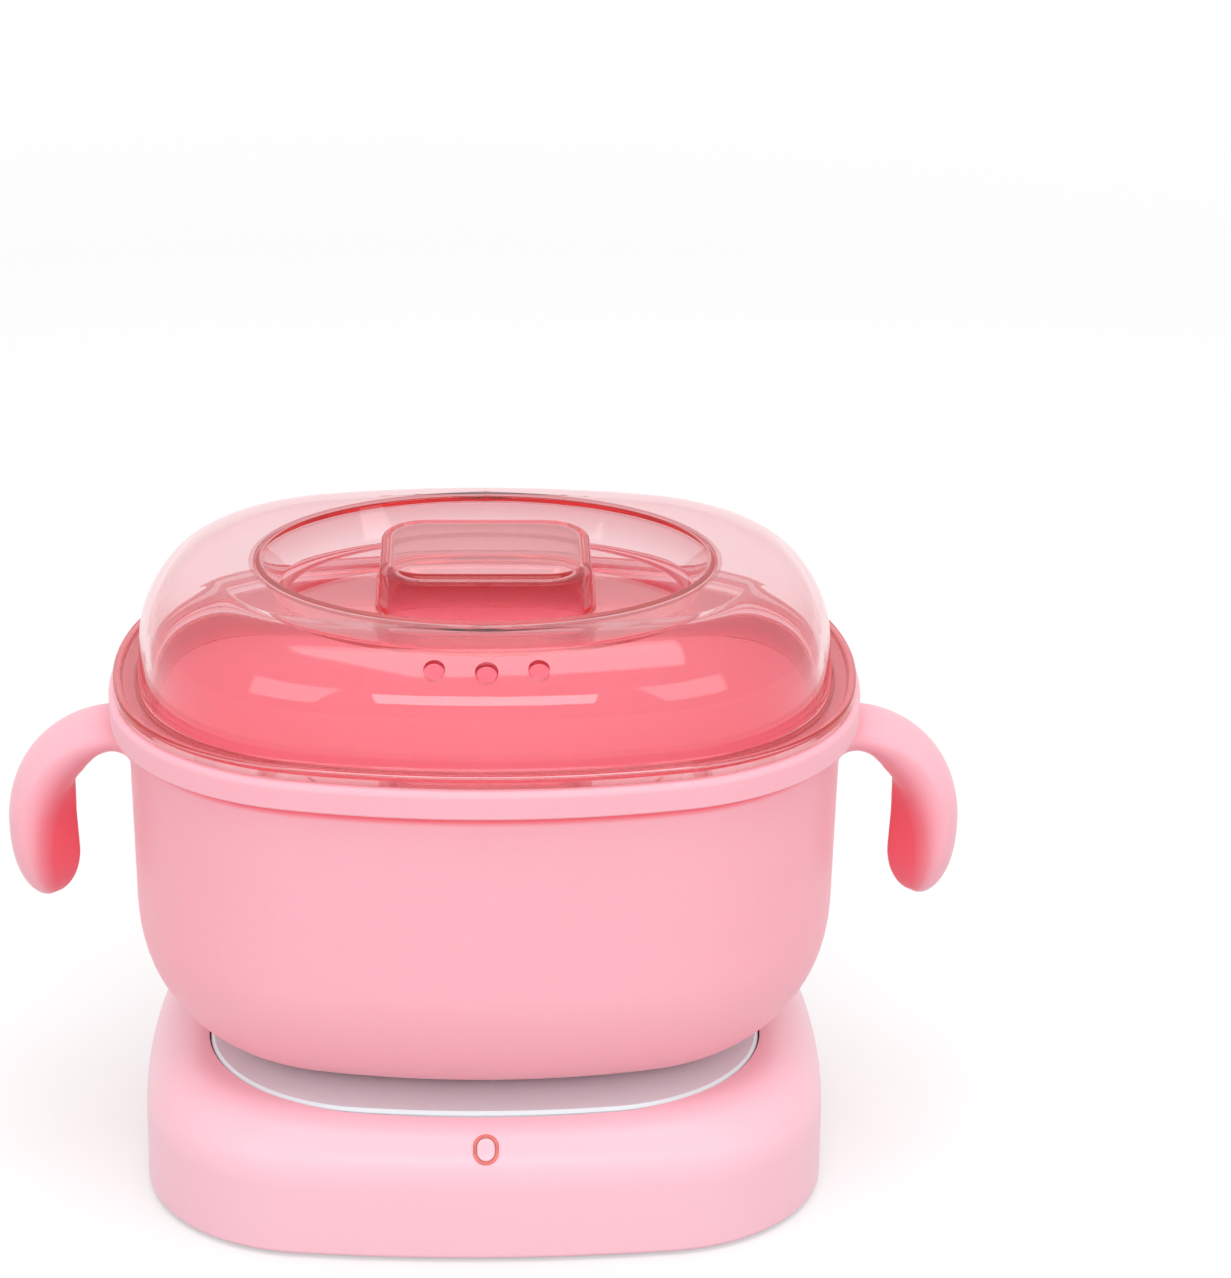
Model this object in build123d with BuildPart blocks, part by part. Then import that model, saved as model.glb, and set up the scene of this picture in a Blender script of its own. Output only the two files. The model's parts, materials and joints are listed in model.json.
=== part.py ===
from build123d import *

import os
from math import asin, atan2, cos, degrees, hypot, radians, sin, sqrt, tan

# Wax warmer: a low mains-heated base, a lift-out silicone pot with two hooked handles and a clear lid.
# Millimetres. Origin on the table under the middle of the base, +X along the long side,
# -Y the front with the power button, +Z up. The pieces stand assembled: lid on pot on heating plate.

# ---------------------------------------------------------------- plan shapes
# Each plan is a soft rectangle of eight tangent arcs:
# half width, half depth, radius of the long sides, of the short sides and of the corners.
base_plan = (92.6, 74.8, 400.0, 320.0, 47.5)
plate_plan = (74.9, 62.8, 250.0, 265.0, 47.0)
rim_plan = (100.0, 80.5, 205.0, 122.0, 63.5)

# ---------------------------------------------------------------- base: driving sizes
foot_stand = 1.0  # the housing's lower edge above the table
plate_top = 38.0  # heating surface above the table
plate_proud = 0.4  # heating surface above the housing's lip
housing_wall = 2.4
shoulder_round = 16.4
foot_round = 1.2
lip_thickness = 4.5

plate_gap = 0.5  # groove between plate and lip
plate_sheet = 2.5
plate_skirt_wall = 1.8
plate_flange = 1.9  # flange beyond the skirt, under the lip
plate_flange_thickness = 1.2
plate_bevel = 0.8
gasket_thickness = 1.0

# heater stack under the plate, from the top down
element_thickness = 0.8
stack_inset = 9.0  # heater stack inside the plate's edge
retainer_thickness = 1.0
plate_boss_x, plate_boss_y, plate_boss_r = 48.0, 36.0, 3.5
stack_clearance = 0.5
wing_x, wing_y, wing_width, wing_end = 80.5, 26.0, 13.0, 3.6
wing_boss_r = 3.0
sensor_r, sensor_height = 3.8, 7.0
tab_x, tab_y, tab_width, tab_thickness, tab_length = 12.0, 40.0, 6.3, 0.8, 11.0
strip_thickness = 0.6
clip_width, clip_length, clip_foot = 5.0, 30.0, 6.0
fuse_y, fuse_r, fuse_length, fuse_lead_r, fuse_lead = -20.0, 2.6, 12.0, 0.5, 10.0
fuse_clamp_foot = 6.0

# lower cover, columns, feet
cover_thickness = 2.4
cover_recess = 0.6  # cover face above the housing's lower edge
cover_gap = 0.3
cover_lip_wall, cover_lip_height = 1.6, 3.0
column_x, column_y, column_r = 66.0, 51.0, 3.2
cover_boss_r, cover_boss_height = 4.6, 5.0
foot_x, foot_y, foot_r, foot_inset = 54.0, 38.0, 7.0, 1.0
vent_count, vent_pitch, vent_length, vent_width, vent_y = 7, 9.0, 20.0, 3.0, 47.0

# screws
screw_r, screw_head_r, screw_head_height, screw_socket = 1.5, 2.8, 1.9, 1.0
thread_clearance = 0.02
cover_screw_length, retainer_screw_length = 11.0, 4.2
small_screw_r, small_screw_head_r, small_screw_head_height = 1.2, 2.2, 1.4
small_screw_length = 5.5

# control board
board_w, board_d, board_thickness = 72.0, 42.0, 1.6
board_y, board_height = 6.0, 12.0
board_hole_inset, board_boss_r = 4.0, 3.0

relay_inset, relay_w, relay_d, relay_height = 15.0, 15.0, 19.0, 14.0
transformer_w, transformer_core, transformer_coil, transformer_height = 16.0, 12.0, 3.0, 13.0
block_inset, block_w, block_d, block_height = 7.0, 26.0, 8.0, 9.0
block_entry = 3.0  # lead entry above the board
capacitor_r, capacitor_height = 4.0, 11.0
connector_x, connector_inset, connector_w, connector_d, connector_height = 12.0, 5.5, 9.0, 6.0, 6.0
chip_height = 1.5
lead_r, signal_lead_r, lead_bend, signal_lead_bend = 1.1, 0.6, 3.0, 1.8
lead_stub, signal_lead_stub, signal_lead_pitch = 7.0, 4.0, 3.0

# power button, in its own axis square to the shoulder
button_height = 31.6  # centre of the button above the table
bezel_w, bezel_h, bezel_stroke, bezel_depth, bezel_proud = 7.5, 8.9, 1.3, 1.1, 0.12
button_clearance = 0.15
button_travel = 0.8
button_flange, button_flange_thickness = 1.1, 0.8
button_stem_r, button_stem = 1.2, 1.2
plunger_r, plunger_reach, plunger_clearance = 0.9, 0.5, 0.05
switch_w, switch_h, switch_depth, switch_gap = 6.0, 3.5, 2.4, 0.9
switch_board_w, switch_board_h, switch_board_thickness, switch_board_drop = 28.0, 9.0, 1.2, 3.4
switch_post_x, switch_post_r = 10.5, 2.4

# mains inlet at the back
inlet_height = 14.5
inlet_w, inlet_h, inlet_corner = 17.0, 10.4, 2.5
inlet_gap = 0.15
inlet_depth = 19.0
inlet_flange, inlet_flange_thickness, inlet_keeper = 2.0, 2.0, 2.0
inlet_setback = 0.2  # flange behind the rear wall's middle, clear of its curve
socket_w, socket_h, socket_depth = 14.4, 8.0, 11.0
inlet_pin_x, inlet_pin_r, inlet_pin_length, inlet_tail = 4.3, 1.2, 7.0, 5.0

# ---------------------------------------------------------------- pot: driving sizes
seat_gap = 0.3  # air left between pieces that lift apart
pot_height = 98.5
rim_height, rim_overhang, rim_round, rim_lower_round = 7.5, 4.7, 2.4, 0.8
pot_wall, pot_floor = 3.0, 3.5
pot_draft = 1.2  # degrees
pot_round = 39.0
mouth_round = 1.6

hook_drop = 15.6  # middle of the strap's root below the rim
hook_strap_t, hook_strap_w = 10.0, 24.0
hook_reach = 123.0  # middle of the strap's outer leg from the middle of the pot
hook_run = 3.1  # straight stretch out of the wall before the arch
hook_leg = 6.0
hook_root_round = 3.5
droop_cover = 0.2  # pad proud of the strap that runs into it
droop_top, droop_tip = 14.0, 64.0  # ends of the pad below the rim
droop_t, droop_w, droop_fullness = 17.8, 27.4, 0.71
droop_knee, droop_knee_round, droop_ridge_round = 9.4, 5.0, 3.5  # section of the pad's inner side

# ---------------------------------------------------------------- lid: driving sizes
lid_inset = 1.2  # lid edge inside the pot's rim
lid_flange_thickness = 2.0
lid_bead_width, lid_bead_height, lid_bead_round = 2.4, 3.3, 0.7
lid_gutter = 6.3  # flange between its edge and the dome
lid_wall = 2.2
lid_skirt_gap, lid_skirt_depth = 0.8, 8.5
dome_height, dome_draft, dome_round = 33.0, 4.0, 21.0
dish_half_w, dish_half_d, dish_depth, dish_draft = 60.0, 48.0, 10.0, 28.0
dish_round, dish_lip_round = 3.5, 0.8
grip_w, grip_d, grip_corner, grip_height, grip_draft, grip_round = 57.0, 47.0, 13.0, 12.6, 4.0, 2.2
vent_hole_r, vent_hole_pitch, vent_hole_angle, vent_hole_drop = 2.85, 13.2, 44.0, 1.0

# ---------------------------------------------------------------- places worked out from them
lip_top = plate_top - plate_proud
lip_under = lip_top - lip_thickness
flange_top = lip_under - gasket_thickness
stack_top = plate_top - plate_sheet
pad_top = stack_top - element_thickness
retainer_top = flange_top - plate_flange_thickness
retainer_under = retainer_top - retainer_thickness
cover_under = foot_stand + cover_recess
cover_top = cover_under + cover_thickness
relay_x, relay_y = board_w / 2 - relay_inset, board_y - 1
block_y = board_y + board_d / 2 - block_inset
connector_y = board_y - board_d / 2 + connector_inset
column_foot = cover_under + cover_boss_height
board_top = board_height + board_thickness
inlet_front_of_flange = base_plan[1] - housing_wall - inlet_setback
inlet_back_of_flange = inlet_front_of_flange - inlet_flange_thickness
inlet_back = base_plan[1] - inlet_depth
pot_base = plate_top + seat_gap
rim_top = pot_base + pot_height
mouth_inset = rim_overhang + pot_wall
lid_seat = rim_top + seat_gap
dome_inset = lid_inset + lid_gutter
dome_top = lid_seat + dome_height
dish_floor = dome_top - dish_depth


os.makedirs("parts", exist_ok=True)


# ---------------------------------------------------------------- shared shapes
def plan(shape, inset=0.0):
    """A filled soft rectangle of eight tangent arcs, drawn in by an inset."""
    half_w, half_d, front_r, side_r, corner_r = (size - inset for size in shape)
    front_c, side_c = half_d - front_r, half_w - side_r
    # the corner's centre lies on both circles that roll inside the long and the short side
    reach = hypot(front_c, side_c)
    along = (reach**2 + (front_r - corner_r) ** 2 - (side_r - corner_r) ** 2) / (2 * reach)
    across = sqrt((front_r - corner_r) ** 2 - along**2)
    corner_x = (side_c * along - front_c * across) / reach
    corner_y = front_c - (front_c * along + side_c * across) / reach
    side_turn = degrees(atan2(corner_y, corner_x - side_c))
    front_turn = degrees(atan2(corner_y - front_c, corner_x))
    corner_turn = front_turn - side_turn
    with BuildSketch(mode=Mode.PRIVATE) as outline:
        with BuildLine():
            CenterArc((side_c, 0), side_r, -side_turn, 2 * side_turn)
            CenterArc((corner_x, corner_y), corner_r, side_turn, corner_turn)
            CenterArc((0, front_c), front_r, front_turn, 180 - 2 * front_turn)
            CenterArc((-corner_x, corner_y), corner_r, 180 - front_turn, corner_turn)
            CenterArc((-side_c, 0), side_r, 180 - side_turn, 2 * side_turn)
            CenterArc((-corner_x, -corner_y), corner_r, 180 + side_turn, corner_turn)
            CenterArc((0, -front_c), front_r, 180 + front_turn, 180 - 2 * front_turn)
            CenterArc((corner_x, -corner_y), corner_r, -front_turn, corner_turn)
        make_face()
    return outline.sketch


def housing_skin(grow=0.0):
    """The housing's outside as one solid, grown outwards."""
    with BuildPart(mode=Mode.PRIVATE) as skin:
        with BuildSketch(Plane.XY.offset(foot_stand)):
            add(plan(base_plan, -grow))
        extrude(amount=lip_top + grow - foot_stand)
        fillet(skin.edges().group_by(Axis.Z)[-1], shoulder_round + grow)
    return skin.part


def pot_form(inset, floor, top, bend):
    """A drafted, round-bottomed bowl form from a height down to a floor height."""
    with BuildPart(mode=Mode.PRIVATE) as form:
        with BuildSketch(Plane.XY.offset(top)):
            add(plan(rim_plan, inset - (top - rim_top) * tan(radians(pot_draft))))
        extrude(amount=floor - top, taper=pot_draft)
        fillet(form.edges().group_by(Axis.Z)[0], bend)
    return form.part


def dome_form(inset, top, bend):
    """The lid's dome form: drafted wall and a broad round shoulder."""
    with BuildPart(mode=Mode.PRIVATE) as form:
        with BuildSketch(Plane.XY.offset(lid_seat)):
            add(plan(rim_plan, inset))
        extrude(amount=top - lid_seat, taper=dome_draft)
        fillet(form.edges().group_by(Axis.Z)[-1], bend)
    return form.part


def dish_form(grow, floor):
    """The sunk dish in the lid's top, an elliptical cone down to a floor, grown outwards."""
    run_in = (dome_top + 1 - floor) * tan(radians(dish_draft))
    with BuildPart(mode=Mode.PRIVATE) as form:
        with BuildSketch(Plane.XY.offset(dome_top + 1)):
            Ellipse(dish_half_w + grow, dish_half_d + grow)
        with BuildSketch(Plane.XY.offset(floor)):
            Ellipse(dish_half_w + grow - run_in, dish_half_d + grow - run_in)
        loft(ruled=True)
    return form.part


def grip_form(inset, foot, top):
    """The finger block in the dish, a drafted soft rectangle."""
    with BuildPart(mode=Mode.PRIVATE) as form:
        with BuildSketch(Plane.XY.offset(foot)):
            RectangleRounded(grip_w - 2 * inset, grip_d - 2 * inset, grip_corner - inset)
        extrude(amount=top - foot, taper=grip_draft)
        fillet(form.edges().group_by(Axis.Z)[-1], grip_round - inset / 2)
    return form.part


def lead(points, radius, bend):
    """An insulated lead along straight runs joined by round bends."""
    with BuildPart(mode=Mode.PRIVATE) as wire:
        with BuildLine() as route:
            FilletPolyline(*points, radius=bend)
        with BuildSketch(Plane(origin=points[0], z_dir=route.line % 0)):
            Circle(radius)
        sweep(path=route.line)
    return wire.part


def pan_screw(seat, length, shank_r, head_r, head_height):
    """A pan-head screw on a seat plane, its shank along the plane's normal and its head behind."""
    with BuildPart(mode=Mode.PRIVATE) as screw:
        with BuildSketch(seat):
            Circle(shank_r)
        extrude(amount=length)
        with BuildSketch(seat):
            Circle(head_r)
        extrude(amount=-head_height)
        crown = screw.faces().sort_by(Axis(seat.origin, seat.z_dir))[0]
        fillet(crown.edges(), head_height / 3)
        with BuildSketch(seat.offset(-head_height)):
            Rectangle(head_r * 1.1, head_r * 0.28)
            Rectangle(head_r * 0.28, head_r * 1.1)
        extrude(amount=head_height / 2, mode=Mode.SUBTRACT)
    return screw.part


# ---------------------------------------------------------------- places on the button's axis
button_turn = asin((button_height - lip_top + shoulder_round) / shoulder_round)
button_plane = Plane(
    origin=(0, shoulder_round * (1 - cos(button_turn)) - base_plan[1], button_height),
    x_dir=(1, 0, 0),
    z_dir=(0, -cos(button_turn), sin(button_turn)),
)
cap_w = bezel_w - 2 * bezel_stroke - 2 * button_clearance
cap_h = bezel_h - 2 * bezel_stroke - 2 * button_clearance
flange_front = housing_wall + button_clearance
flange_back = flange_front + button_flange_thickness
stem_end = flange_back + button_stem
switch_front = stem_end + switch_gap
switch_board_front = switch_front + switch_depth
switch_board_back = switch_board_front + switch_board_thickness
switch_posts = [(side * switch_post_x, -switch_board_drop) for side in (-1, 1)]

# ---------------------------------------------------------------- base_housing
# columns for the cover screws, bosses for the retainer and posts for the switch board
with BuildPart() as housing_posts:
    with BuildSketch(Plane.XY.offset(column_foot)):
        with GridLocations(2 * column_x, 2 * column_y, 2, 2):
            Circle(column_r)
    extrude(amount=lip_top - column_foot)
    with BuildSketch(Plane.XY.offset(retainer_top)):
        with GridLocations(2 * wing_x, 2 * wing_y, 2, 2):
            Circle(wing_boss_r)
    extrude(amount=lip_top - retainer_top)
    with BuildSketch(button_plane.offset(-switch_board_front)):
        with Locations(*switch_posts):
            Circle(switch_post_r)
    extrude(amount=switch_board_front)
    add(housing_skin(-housing_wall / 2), mode=Mode.INTERSECT)

with BuildPart() as housing_cavity:
    add(housing_skin(-housing_wall))
    with BuildSketch(Plane.XY):
        add(plan(base_plan, housing_wall))
    extrude(amount=foot_stand)
    split(bisect_by=Plane.XY.offset(lip_under), keep=Keep.BOTTOM)

with BuildPart() as base_housing:
    add(housing_skin())
    fillet(base_housing.edges().group_by(Axis.Z)[0], foot_round)
    add(housing_cavity.part, mode=Mode.SUBTRACT)
    add(housing_posts.part)
    # opening for the heating plate
    with BuildSketch(Plane.XY.offset(lip_under - 1)):
        add(plan(plate_plan, -plate_gap))
    extrude(amount=lip_thickness + 2, mode=Mode.SUBTRACT)
    # pilot holes up the columns, the bosses and the posts
    with BuildSketch(Plane.XY.offset(column_foot)):
        with GridLocations(2 * column_x, 2 * column_y, 2, 2):
            Circle(screw_r + thread_clearance)
    extrude(amount=cover_screw_length, mode=Mode.SUBTRACT)
    with BuildSketch(Plane.XY.offset(retainer_top)):
        with GridLocations(2 * wing_x, 2 * wing_y, 2, 2):
            Circle(screw_r + thread_clearance)
    extrude(amount=retainer_screw_length - retainer_thickness / 2, mode=Mode.SUBTRACT)
    with BuildSketch(button_plane.offset(-switch_board_front)):
        with Locations(*switch_posts):
            Circle(small_screw_r + thread_clearance)
    extrude(amount=small_screw_length, mode=Mode.SUBTRACT)
    # seat for the bezel, hole for the button's cap and a spot face for its flange
    with BuildSketch(button_plane.offset(-bezel_depth)):
        SlotOverall(bezel_h, bezel_w, rotation=90)
    extrude(amount=bezel_depth + 1, mode=Mode.SUBTRACT)
    with BuildSketch(button_plane.offset(-flange_back)):
        SlotOverall(cap_h + 2 * button_clearance, cap_w + 2 * button_clearance, rotation=90)
    extrude(amount=flange_back, mode=Mode.SUBTRACT)
    with BuildSketch(button_plane.offset(-housing_wall)):
        SlotOverall(
            cap_h + 2 * button_flange + 4 * button_clearance,
            cap_w + 2 * button_flange + 4 * button_clearance,
            rotation=90,
        )
    extrude(amount=-button_flange_thickness - button_travel, mode=Mode.SUBTRACT)
    # window for the mains inlet
    with BuildSketch(Plane.XZ.offset(-base_plan[1] - 1)):
        with Locations((0, inlet_height)):
            RectangleRounded(inlet_w + 2 * inlet_gap, inlet_h + 2 * inlet_gap, inlet_corner)
    extrude(amount=housing_wall + 2, mode=Mode.SUBTRACT)
base_housing.part.label = "base_housing"
export_step(base_housing.part, "parts/base_housing.step")

# ---------------------------------------------------------------- heating_plate
with BuildPart() as heating_plate:
    with BuildSketch(Plane.XY.offset(retainer_top)):
        add(plan(plate_plan))
    extrude(amount=plate_top - retainer_top)
    with BuildSketch(Plane.XY.offset(retainer_top)):
        add(plan(plate_plan, -plate_flange))
    extrude(amount=plate_flange_thickness)
    chamfer(heating_plate.edges().group_by(Axis.Z)[-1], plate_bevel)
    with BuildSketch(Plane.XY.offset(retainer_top)):
        add(plan(plate_plan, plate_skirt_wall))
        with GridLocations(2 * plate_boss_x, 2 * plate_boss_y, 2, 2):
            Circle(plate_boss_r, mode=Mode.SUBTRACT)
    extrude(amount=stack_top - retainer_top, mode=Mode.SUBTRACT)
    with BuildSketch(Plane.XY.offset(retainer_top)):
        with GridLocations(2 * plate_boss_x, 2 * plate_boss_y, 2, 2):
            Circle(screw_r + thread_clearance)
    extrude(amount=retainer_screw_length - retainer_thickness / 2, mode=Mode.SUBTRACT)
heating_plate.part.label = "heating_plate"
export_step(heating_plate.part, "parts/heating_plate.step")

# ---------------------------------------------------------------- plate_gasket
with BuildPart() as plate_gasket:
    with BuildSketch(Plane.XY.offset(flange_top)):
        add(plan(plate_plan, -plate_flange))
        add(plan(plate_plan, -plate_gap), mode=Mode.SUBTRACT)
    extrude(amount=gasket_thickness)
plate_gasket.part.label = "plate_gasket"
export_step(plate_gasket.part, "parts/plate_gasket.step")

# ---------------------------------------------------------------- heating_element and its tabs
with BuildPart() as heating_element:
    with BuildSketch(Plane.XY.offset(pad_top)):
        add(plan(plate_plan, stack_inset))
        with GridLocations(2 * plate_boss_x, 2 * plate_boss_y, 2, 2):
            Circle(plate_boss_r + stack_clearance, mode=Mode.SUBTRACT)
        Circle(sensor_r + stack_clearance, mode=Mode.SUBTRACT)
    extrude(amount=element_thickness)
heating_element.part.label = "heating_element"
export_step(heating_element.part, "parts/heating_element.step")

with BuildPart() as element_tabs:
    with BuildSketch(Plane.XY.offset(pad_top)):
        with GridLocations(2 * tab_x, 0, 2, 1):
            with Locations((0, tab_y)):
                Rectangle(tab_width, tab_thickness)
    extrude(amount=-tab_length)
element_tabs.part.label = "element_tabs"
export_step(element_tabs.part, "parts/element_tabs.step")

# ---------------------------------------------------------------- insulation_pad
with BuildPart() as insulation_pad:
    with BuildSketch(Plane.XY.offset(retainer_top)):
        add(plan(plate_plan, stack_inset))
        with GridLocations(2 * plate_boss_x, 2 * plate_boss_y, 2, 2):
            Circle(plate_boss_r + stack_clearance, mode=Mode.SUBTRACT)
        Circle(sensor_r + stack_clearance, mode=Mode.SUBTRACT)
        with Locations((-tab_x, tab_y), (tab_x, tab_y)):
            Rectangle(
                tab_width + 2 * stack_clearance, tab_thickness + 2 * stack_clearance, mode=Mode.SUBTRACT
            )
    extrude(amount=pad_top - retainer_top)
insulation_pad.part.label = "insulation_pad"
export_step(insulation_pad.part, "parts/insulation_pad.step")

# ---------------------------------------------------------------- retainer_plate
with BuildPart() as retainer_plate:
    with BuildSketch(Plane.XY.offset(retainer_under)):
        add(plan(plate_plan, plate_skirt_wall))
        with GridLocations(0, 2 * wing_y, 1, 2):
            Rectangle(2 * (wing_x + wing_end), wing_width)
        with GridLocations(2 * wing_x, 2 * wing_y, 2, 2):
            Circle(screw_r + thread_clearance, mode=Mode.SUBTRACT)
        with GridLocations(2 * plate_boss_x, 2 * plate_boss_y, 2, 2):
            Circle(screw_r + thread_clearance, mode=Mode.SUBTRACT)
        Circle(sensor_r + stack_clearance, mode=Mode.SUBTRACT)
        with Locations((-tab_x, tab_y), (tab_x, tab_y)):
            Rectangle(
                tab_width + 2 * stack_clearance, tab_thickness + 2 * stack_clearance, mode=Mode.SUBTRACT
            )
    extrude(amount=retainer_thickness)
retainer_plate.part.label = "retainer_plate"
export_step(retainer_plate.part, "parts/retainer_plate.step")

with BuildPart() as retainer_screws:
    for x, y in ((wing_x, wing_y), (plate_boss_x, plate_boss_y)):
        for x_side in (-1, 1):
            for y_side in (-1, 1):
                seat = Plane(origin=(x_side * x, y_side * y, retainer_under), z_dir=(0, 0, 1))
                add(pan_screw(seat, retainer_screw_length, screw_r, screw_head_r, screw_head_height))
retainer_screws.part.label = "retainer_screws"
export_step(retainer_screws.part, "parts/retainer_screws.step")

# ---------------------------------------------------------------- temperature_sensor and its clip
sensor_foot = stack_top - sensor_height
with BuildPart() as temperature_sensor:
    with BuildSketch(Plane.XY.offset(sensor_foot)):
        Circle(sensor_r)
    extrude(amount=sensor_height)
    fillet(temperature_sensor.edges().group_by(Axis.Z)[-1], strip_thickness)
temperature_sensor.part.label = "temperature_sensor"
export_step(temperature_sensor.part, "parts/temperature_sensor.step")

clip_half, clip_crown = clip_length / 2, sensor_r + stack_clearance
with BuildPart() as sensor_clip:
    with BuildSketch(Plane.XZ.offset(-clip_width / 2)):
        with BuildLine():
            Polyline(
                (-clip_half, retainer_under),
                (-clip_half, retainer_under - strip_thickness),
                (clip_foot - clip_half, retainer_under - strip_thickness),
                (-clip_crown, sensor_foot - strip_thickness),
                (clip_crown, sensor_foot - strip_thickness),
                (clip_half - clip_foot, retainer_under - strip_thickness),
                (clip_half, retainer_under - strip_thickness),
                (clip_half, retainer_under),
                (clip_half - clip_foot, retainer_under),
                (clip_crown, sensor_foot),
                (-clip_crown, sensor_foot),
                (clip_foot - clip_half, retainer_under),
                close=True,
            )
        make_face()
    extrude(amount=clip_width)
sensor_clip.part.label = "sensor_clip"
export_step(sensor_clip.part, "parts/sensor_clip.step")

# ---------------------------------------------------------------- thermal_fuse and its clamp
fuse_height = retainer_under - fuse_r
with BuildPart() as thermal_fuse:
    for radius, length in ((fuse_r, fuse_length), (fuse_lead_r, fuse_length + 2 * fuse_lead)):
        with BuildSketch(Plane.YZ.offset(-length / 2)):
            with Locations((fuse_y, fuse_height)):
                Circle(radius)
        extrude(amount=length)
thermal_fuse.part.label = "thermal_fuse"
export_step(thermal_fuse.part, "parts/thermal_fuse.step")

with BuildPart() as fuse_clamp:
    with BuildSketch(Plane.YZ.offset(-clip_width / 2)):
        with Locations((fuse_y, fuse_height)):
            Circle(fuse_r + strip_thickness)
        with Locations((fuse_y, retainer_under - fuse_r / 2)):
            Rectangle(2 * (fuse_r + strip_thickness), fuse_r)
        with Locations((fuse_y, retainer_under - strip_thickness / 2)):
            Rectangle(2 * (fuse_r + fuse_clamp_foot), strip_thickness)
        with Locations((fuse_y, fuse_height)):
            Circle(fuse_r, mode=Mode.SUBTRACT)
        with Locations((fuse_y, retainer_under)):
            Rectangle(2 * fuse_r, 2 * fuse_r, mode=Mode.SUBTRACT)
            Rectangle(
                2 * (fuse_r + strip_thickness),
                strip_thickness * 2,
                align=(Align.CENTER, Align.MIN),
                mode=Mode.SUBTRACT,
            )
    extrude(amount=clip_width)
fuse_clamp.part.label = "fuse_clamp"
export_step(fuse_clamp.part, "parts/fuse_clamp.step")

# ---------------------------------------------------------------- bottom_cover
head_seat = column_foot - cover_thickness
with BuildPart() as bottom_cover:
    with BuildSketch(Plane.XY.offset(cover_under)):
        add(plan(base_plan, housing_wall + cover_gap))
    extrude(amount=cover_thickness)
    with BuildSketch(Plane.XY.offset(cover_top)):
        add(plan(base_plan, housing_wall + cover_gap))
        add(plan(base_plan, housing_wall + cover_gap + cover_lip_wall), mode=Mode.SUBTRACT)
    extrude(amount=cover_lip_height)
    with BuildSketch(Plane.XY.offset(cover_top)):
        with GridLocations(2 * column_x, 2 * column_y, 2, 2):
            Circle(cover_boss_r)
    extrude(amount=column_foot - cover_top)
    # bosses for the control board and stiffening ribs between the feet
    with BuildSketch(Plane.XY.offset(cover_top)):
        with Locations((0, board_y)):
            with GridLocations(board_w - 2 * board_hole_inset, board_d - 2 * board_hole_inset, 2, 2):
                Circle(board_boss_r)
    extrude(amount=board_height - cover_top)
    with BuildSketch(Plane.XY.offset(cover_top)):
        with GridLocations(2 * foot_x, 0, 2, 1):
            Rectangle(cover_lip_wall, 2 * column_y)
    extrude(amount=cover_lip_height)
    with BuildSketch(Plane.XY.offset(cover_top)):
        with Locations((0, inlet_back_of_flange - inlet_keeper / 2)):
            Rectangle(inlet_w + 2 * inlet_flange, inlet_keeper)
    extrude(amount=inlet_height - inlet_h / 2 - inlet_gap - cover_top)
    with BuildSketch(Plane.XY.offset(board_height)):
        with Locations((0, board_y)):
            with GridLocations(board_w - 2 * board_hole_inset, board_d - 2 * board_hole_inset, 2, 2):
                Circle(small_screw_r + thread_clearance)
    extrude(amount=-small_screw_length, mode=Mode.SUBTRACT)
    # screw holes with deep seats, foot recesses and vent slots from below
    with BuildSketch(Plane.XY.offset(cover_under)):
        with GridLocations(2 * column_x, 2 * column_y, 2, 2):
            Circle(screw_r + thread_clearance)
    extrude(amount=column_foot, mode=Mode.SUBTRACT)
    with BuildSketch(Plane.XY.offset(cover_under)):
        with GridLocations(2 * column_x, 2 * column_y, 2, 2):
            Circle(screw_head_r + cover_gap)
    extrude(amount=head_seat - cover_under, mode=Mode.SUBTRACT)
    with BuildSketch(Plane.XY.offset(cover_under)):
        with GridLocations(2 * foot_x, 2 * foot_y, 2, 2):
            Circle(foot_r)
    extrude(amount=foot_inset, mode=Mode.SUBTRACT)
    with BuildSketch(Plane.XY.offset(cover_under)):
        with GridLocations(vent_pitch, 2 * vent_y, vent_count, 2):
            SlotOverall(vent_length, vent_width, rotation=90)
    extrude(amount=cover_thickness, mode=Mode.SUBTRACT)
bottom_cover.part.label = "bottom_cover"
export_step(bottom_cover.part, "parts/bottom_cover.step")

with BuildPart() as cover_screws:
    for x in (-column_x, column_x):
        for y in (-column_y, column_y):
            seat = Plane(origin=(x, y, head_seat), z_dir=(0, 0, 1))
            add(pan_screw(seat, cover_screw_length, screw_r, screw_head_r, screw_head_height))
cover_screws.part.label = "cover_screws"
export_step(cover_screws.part, "parts/cover_screws.step")

with BuildPart() as foot_pads:
    with BuildSketch(Plane.XY):
        with GridLocations(2 * foot_x, 2 * foot_y, 2, 2):
            Circle(foot_r)
    extrude(amount=cover_under + foot_inset)
    chamfer(foot_pads.edges().group_by(Axis.Z)[0], foot_stand / 2)
foot_pads.part.label = "foot_pads"
export_step(foot_pads.part, "parts/foot_pads.step")

# ---------------------------------------------------------------- control_board and what stands on it
with BuildPart() as control_board:
    with BuildSketch(Plane.XY.offset(board_height)):
        with Locations((0, board_y)):
            Rectangle(board_w, board_d)
            with GridLocations(board_w - 2 * board_hole_inset, board_d - 2 * board_hole_inset, 2, 2):
                Circle(small_screw_r + thread_clearance, mode=Mode.SUBTRACT)
    extrude(amount=board_thickness)
control_board.part.label = "control_board"
export_step(control_board.part, "parts/control_board.step")

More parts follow.
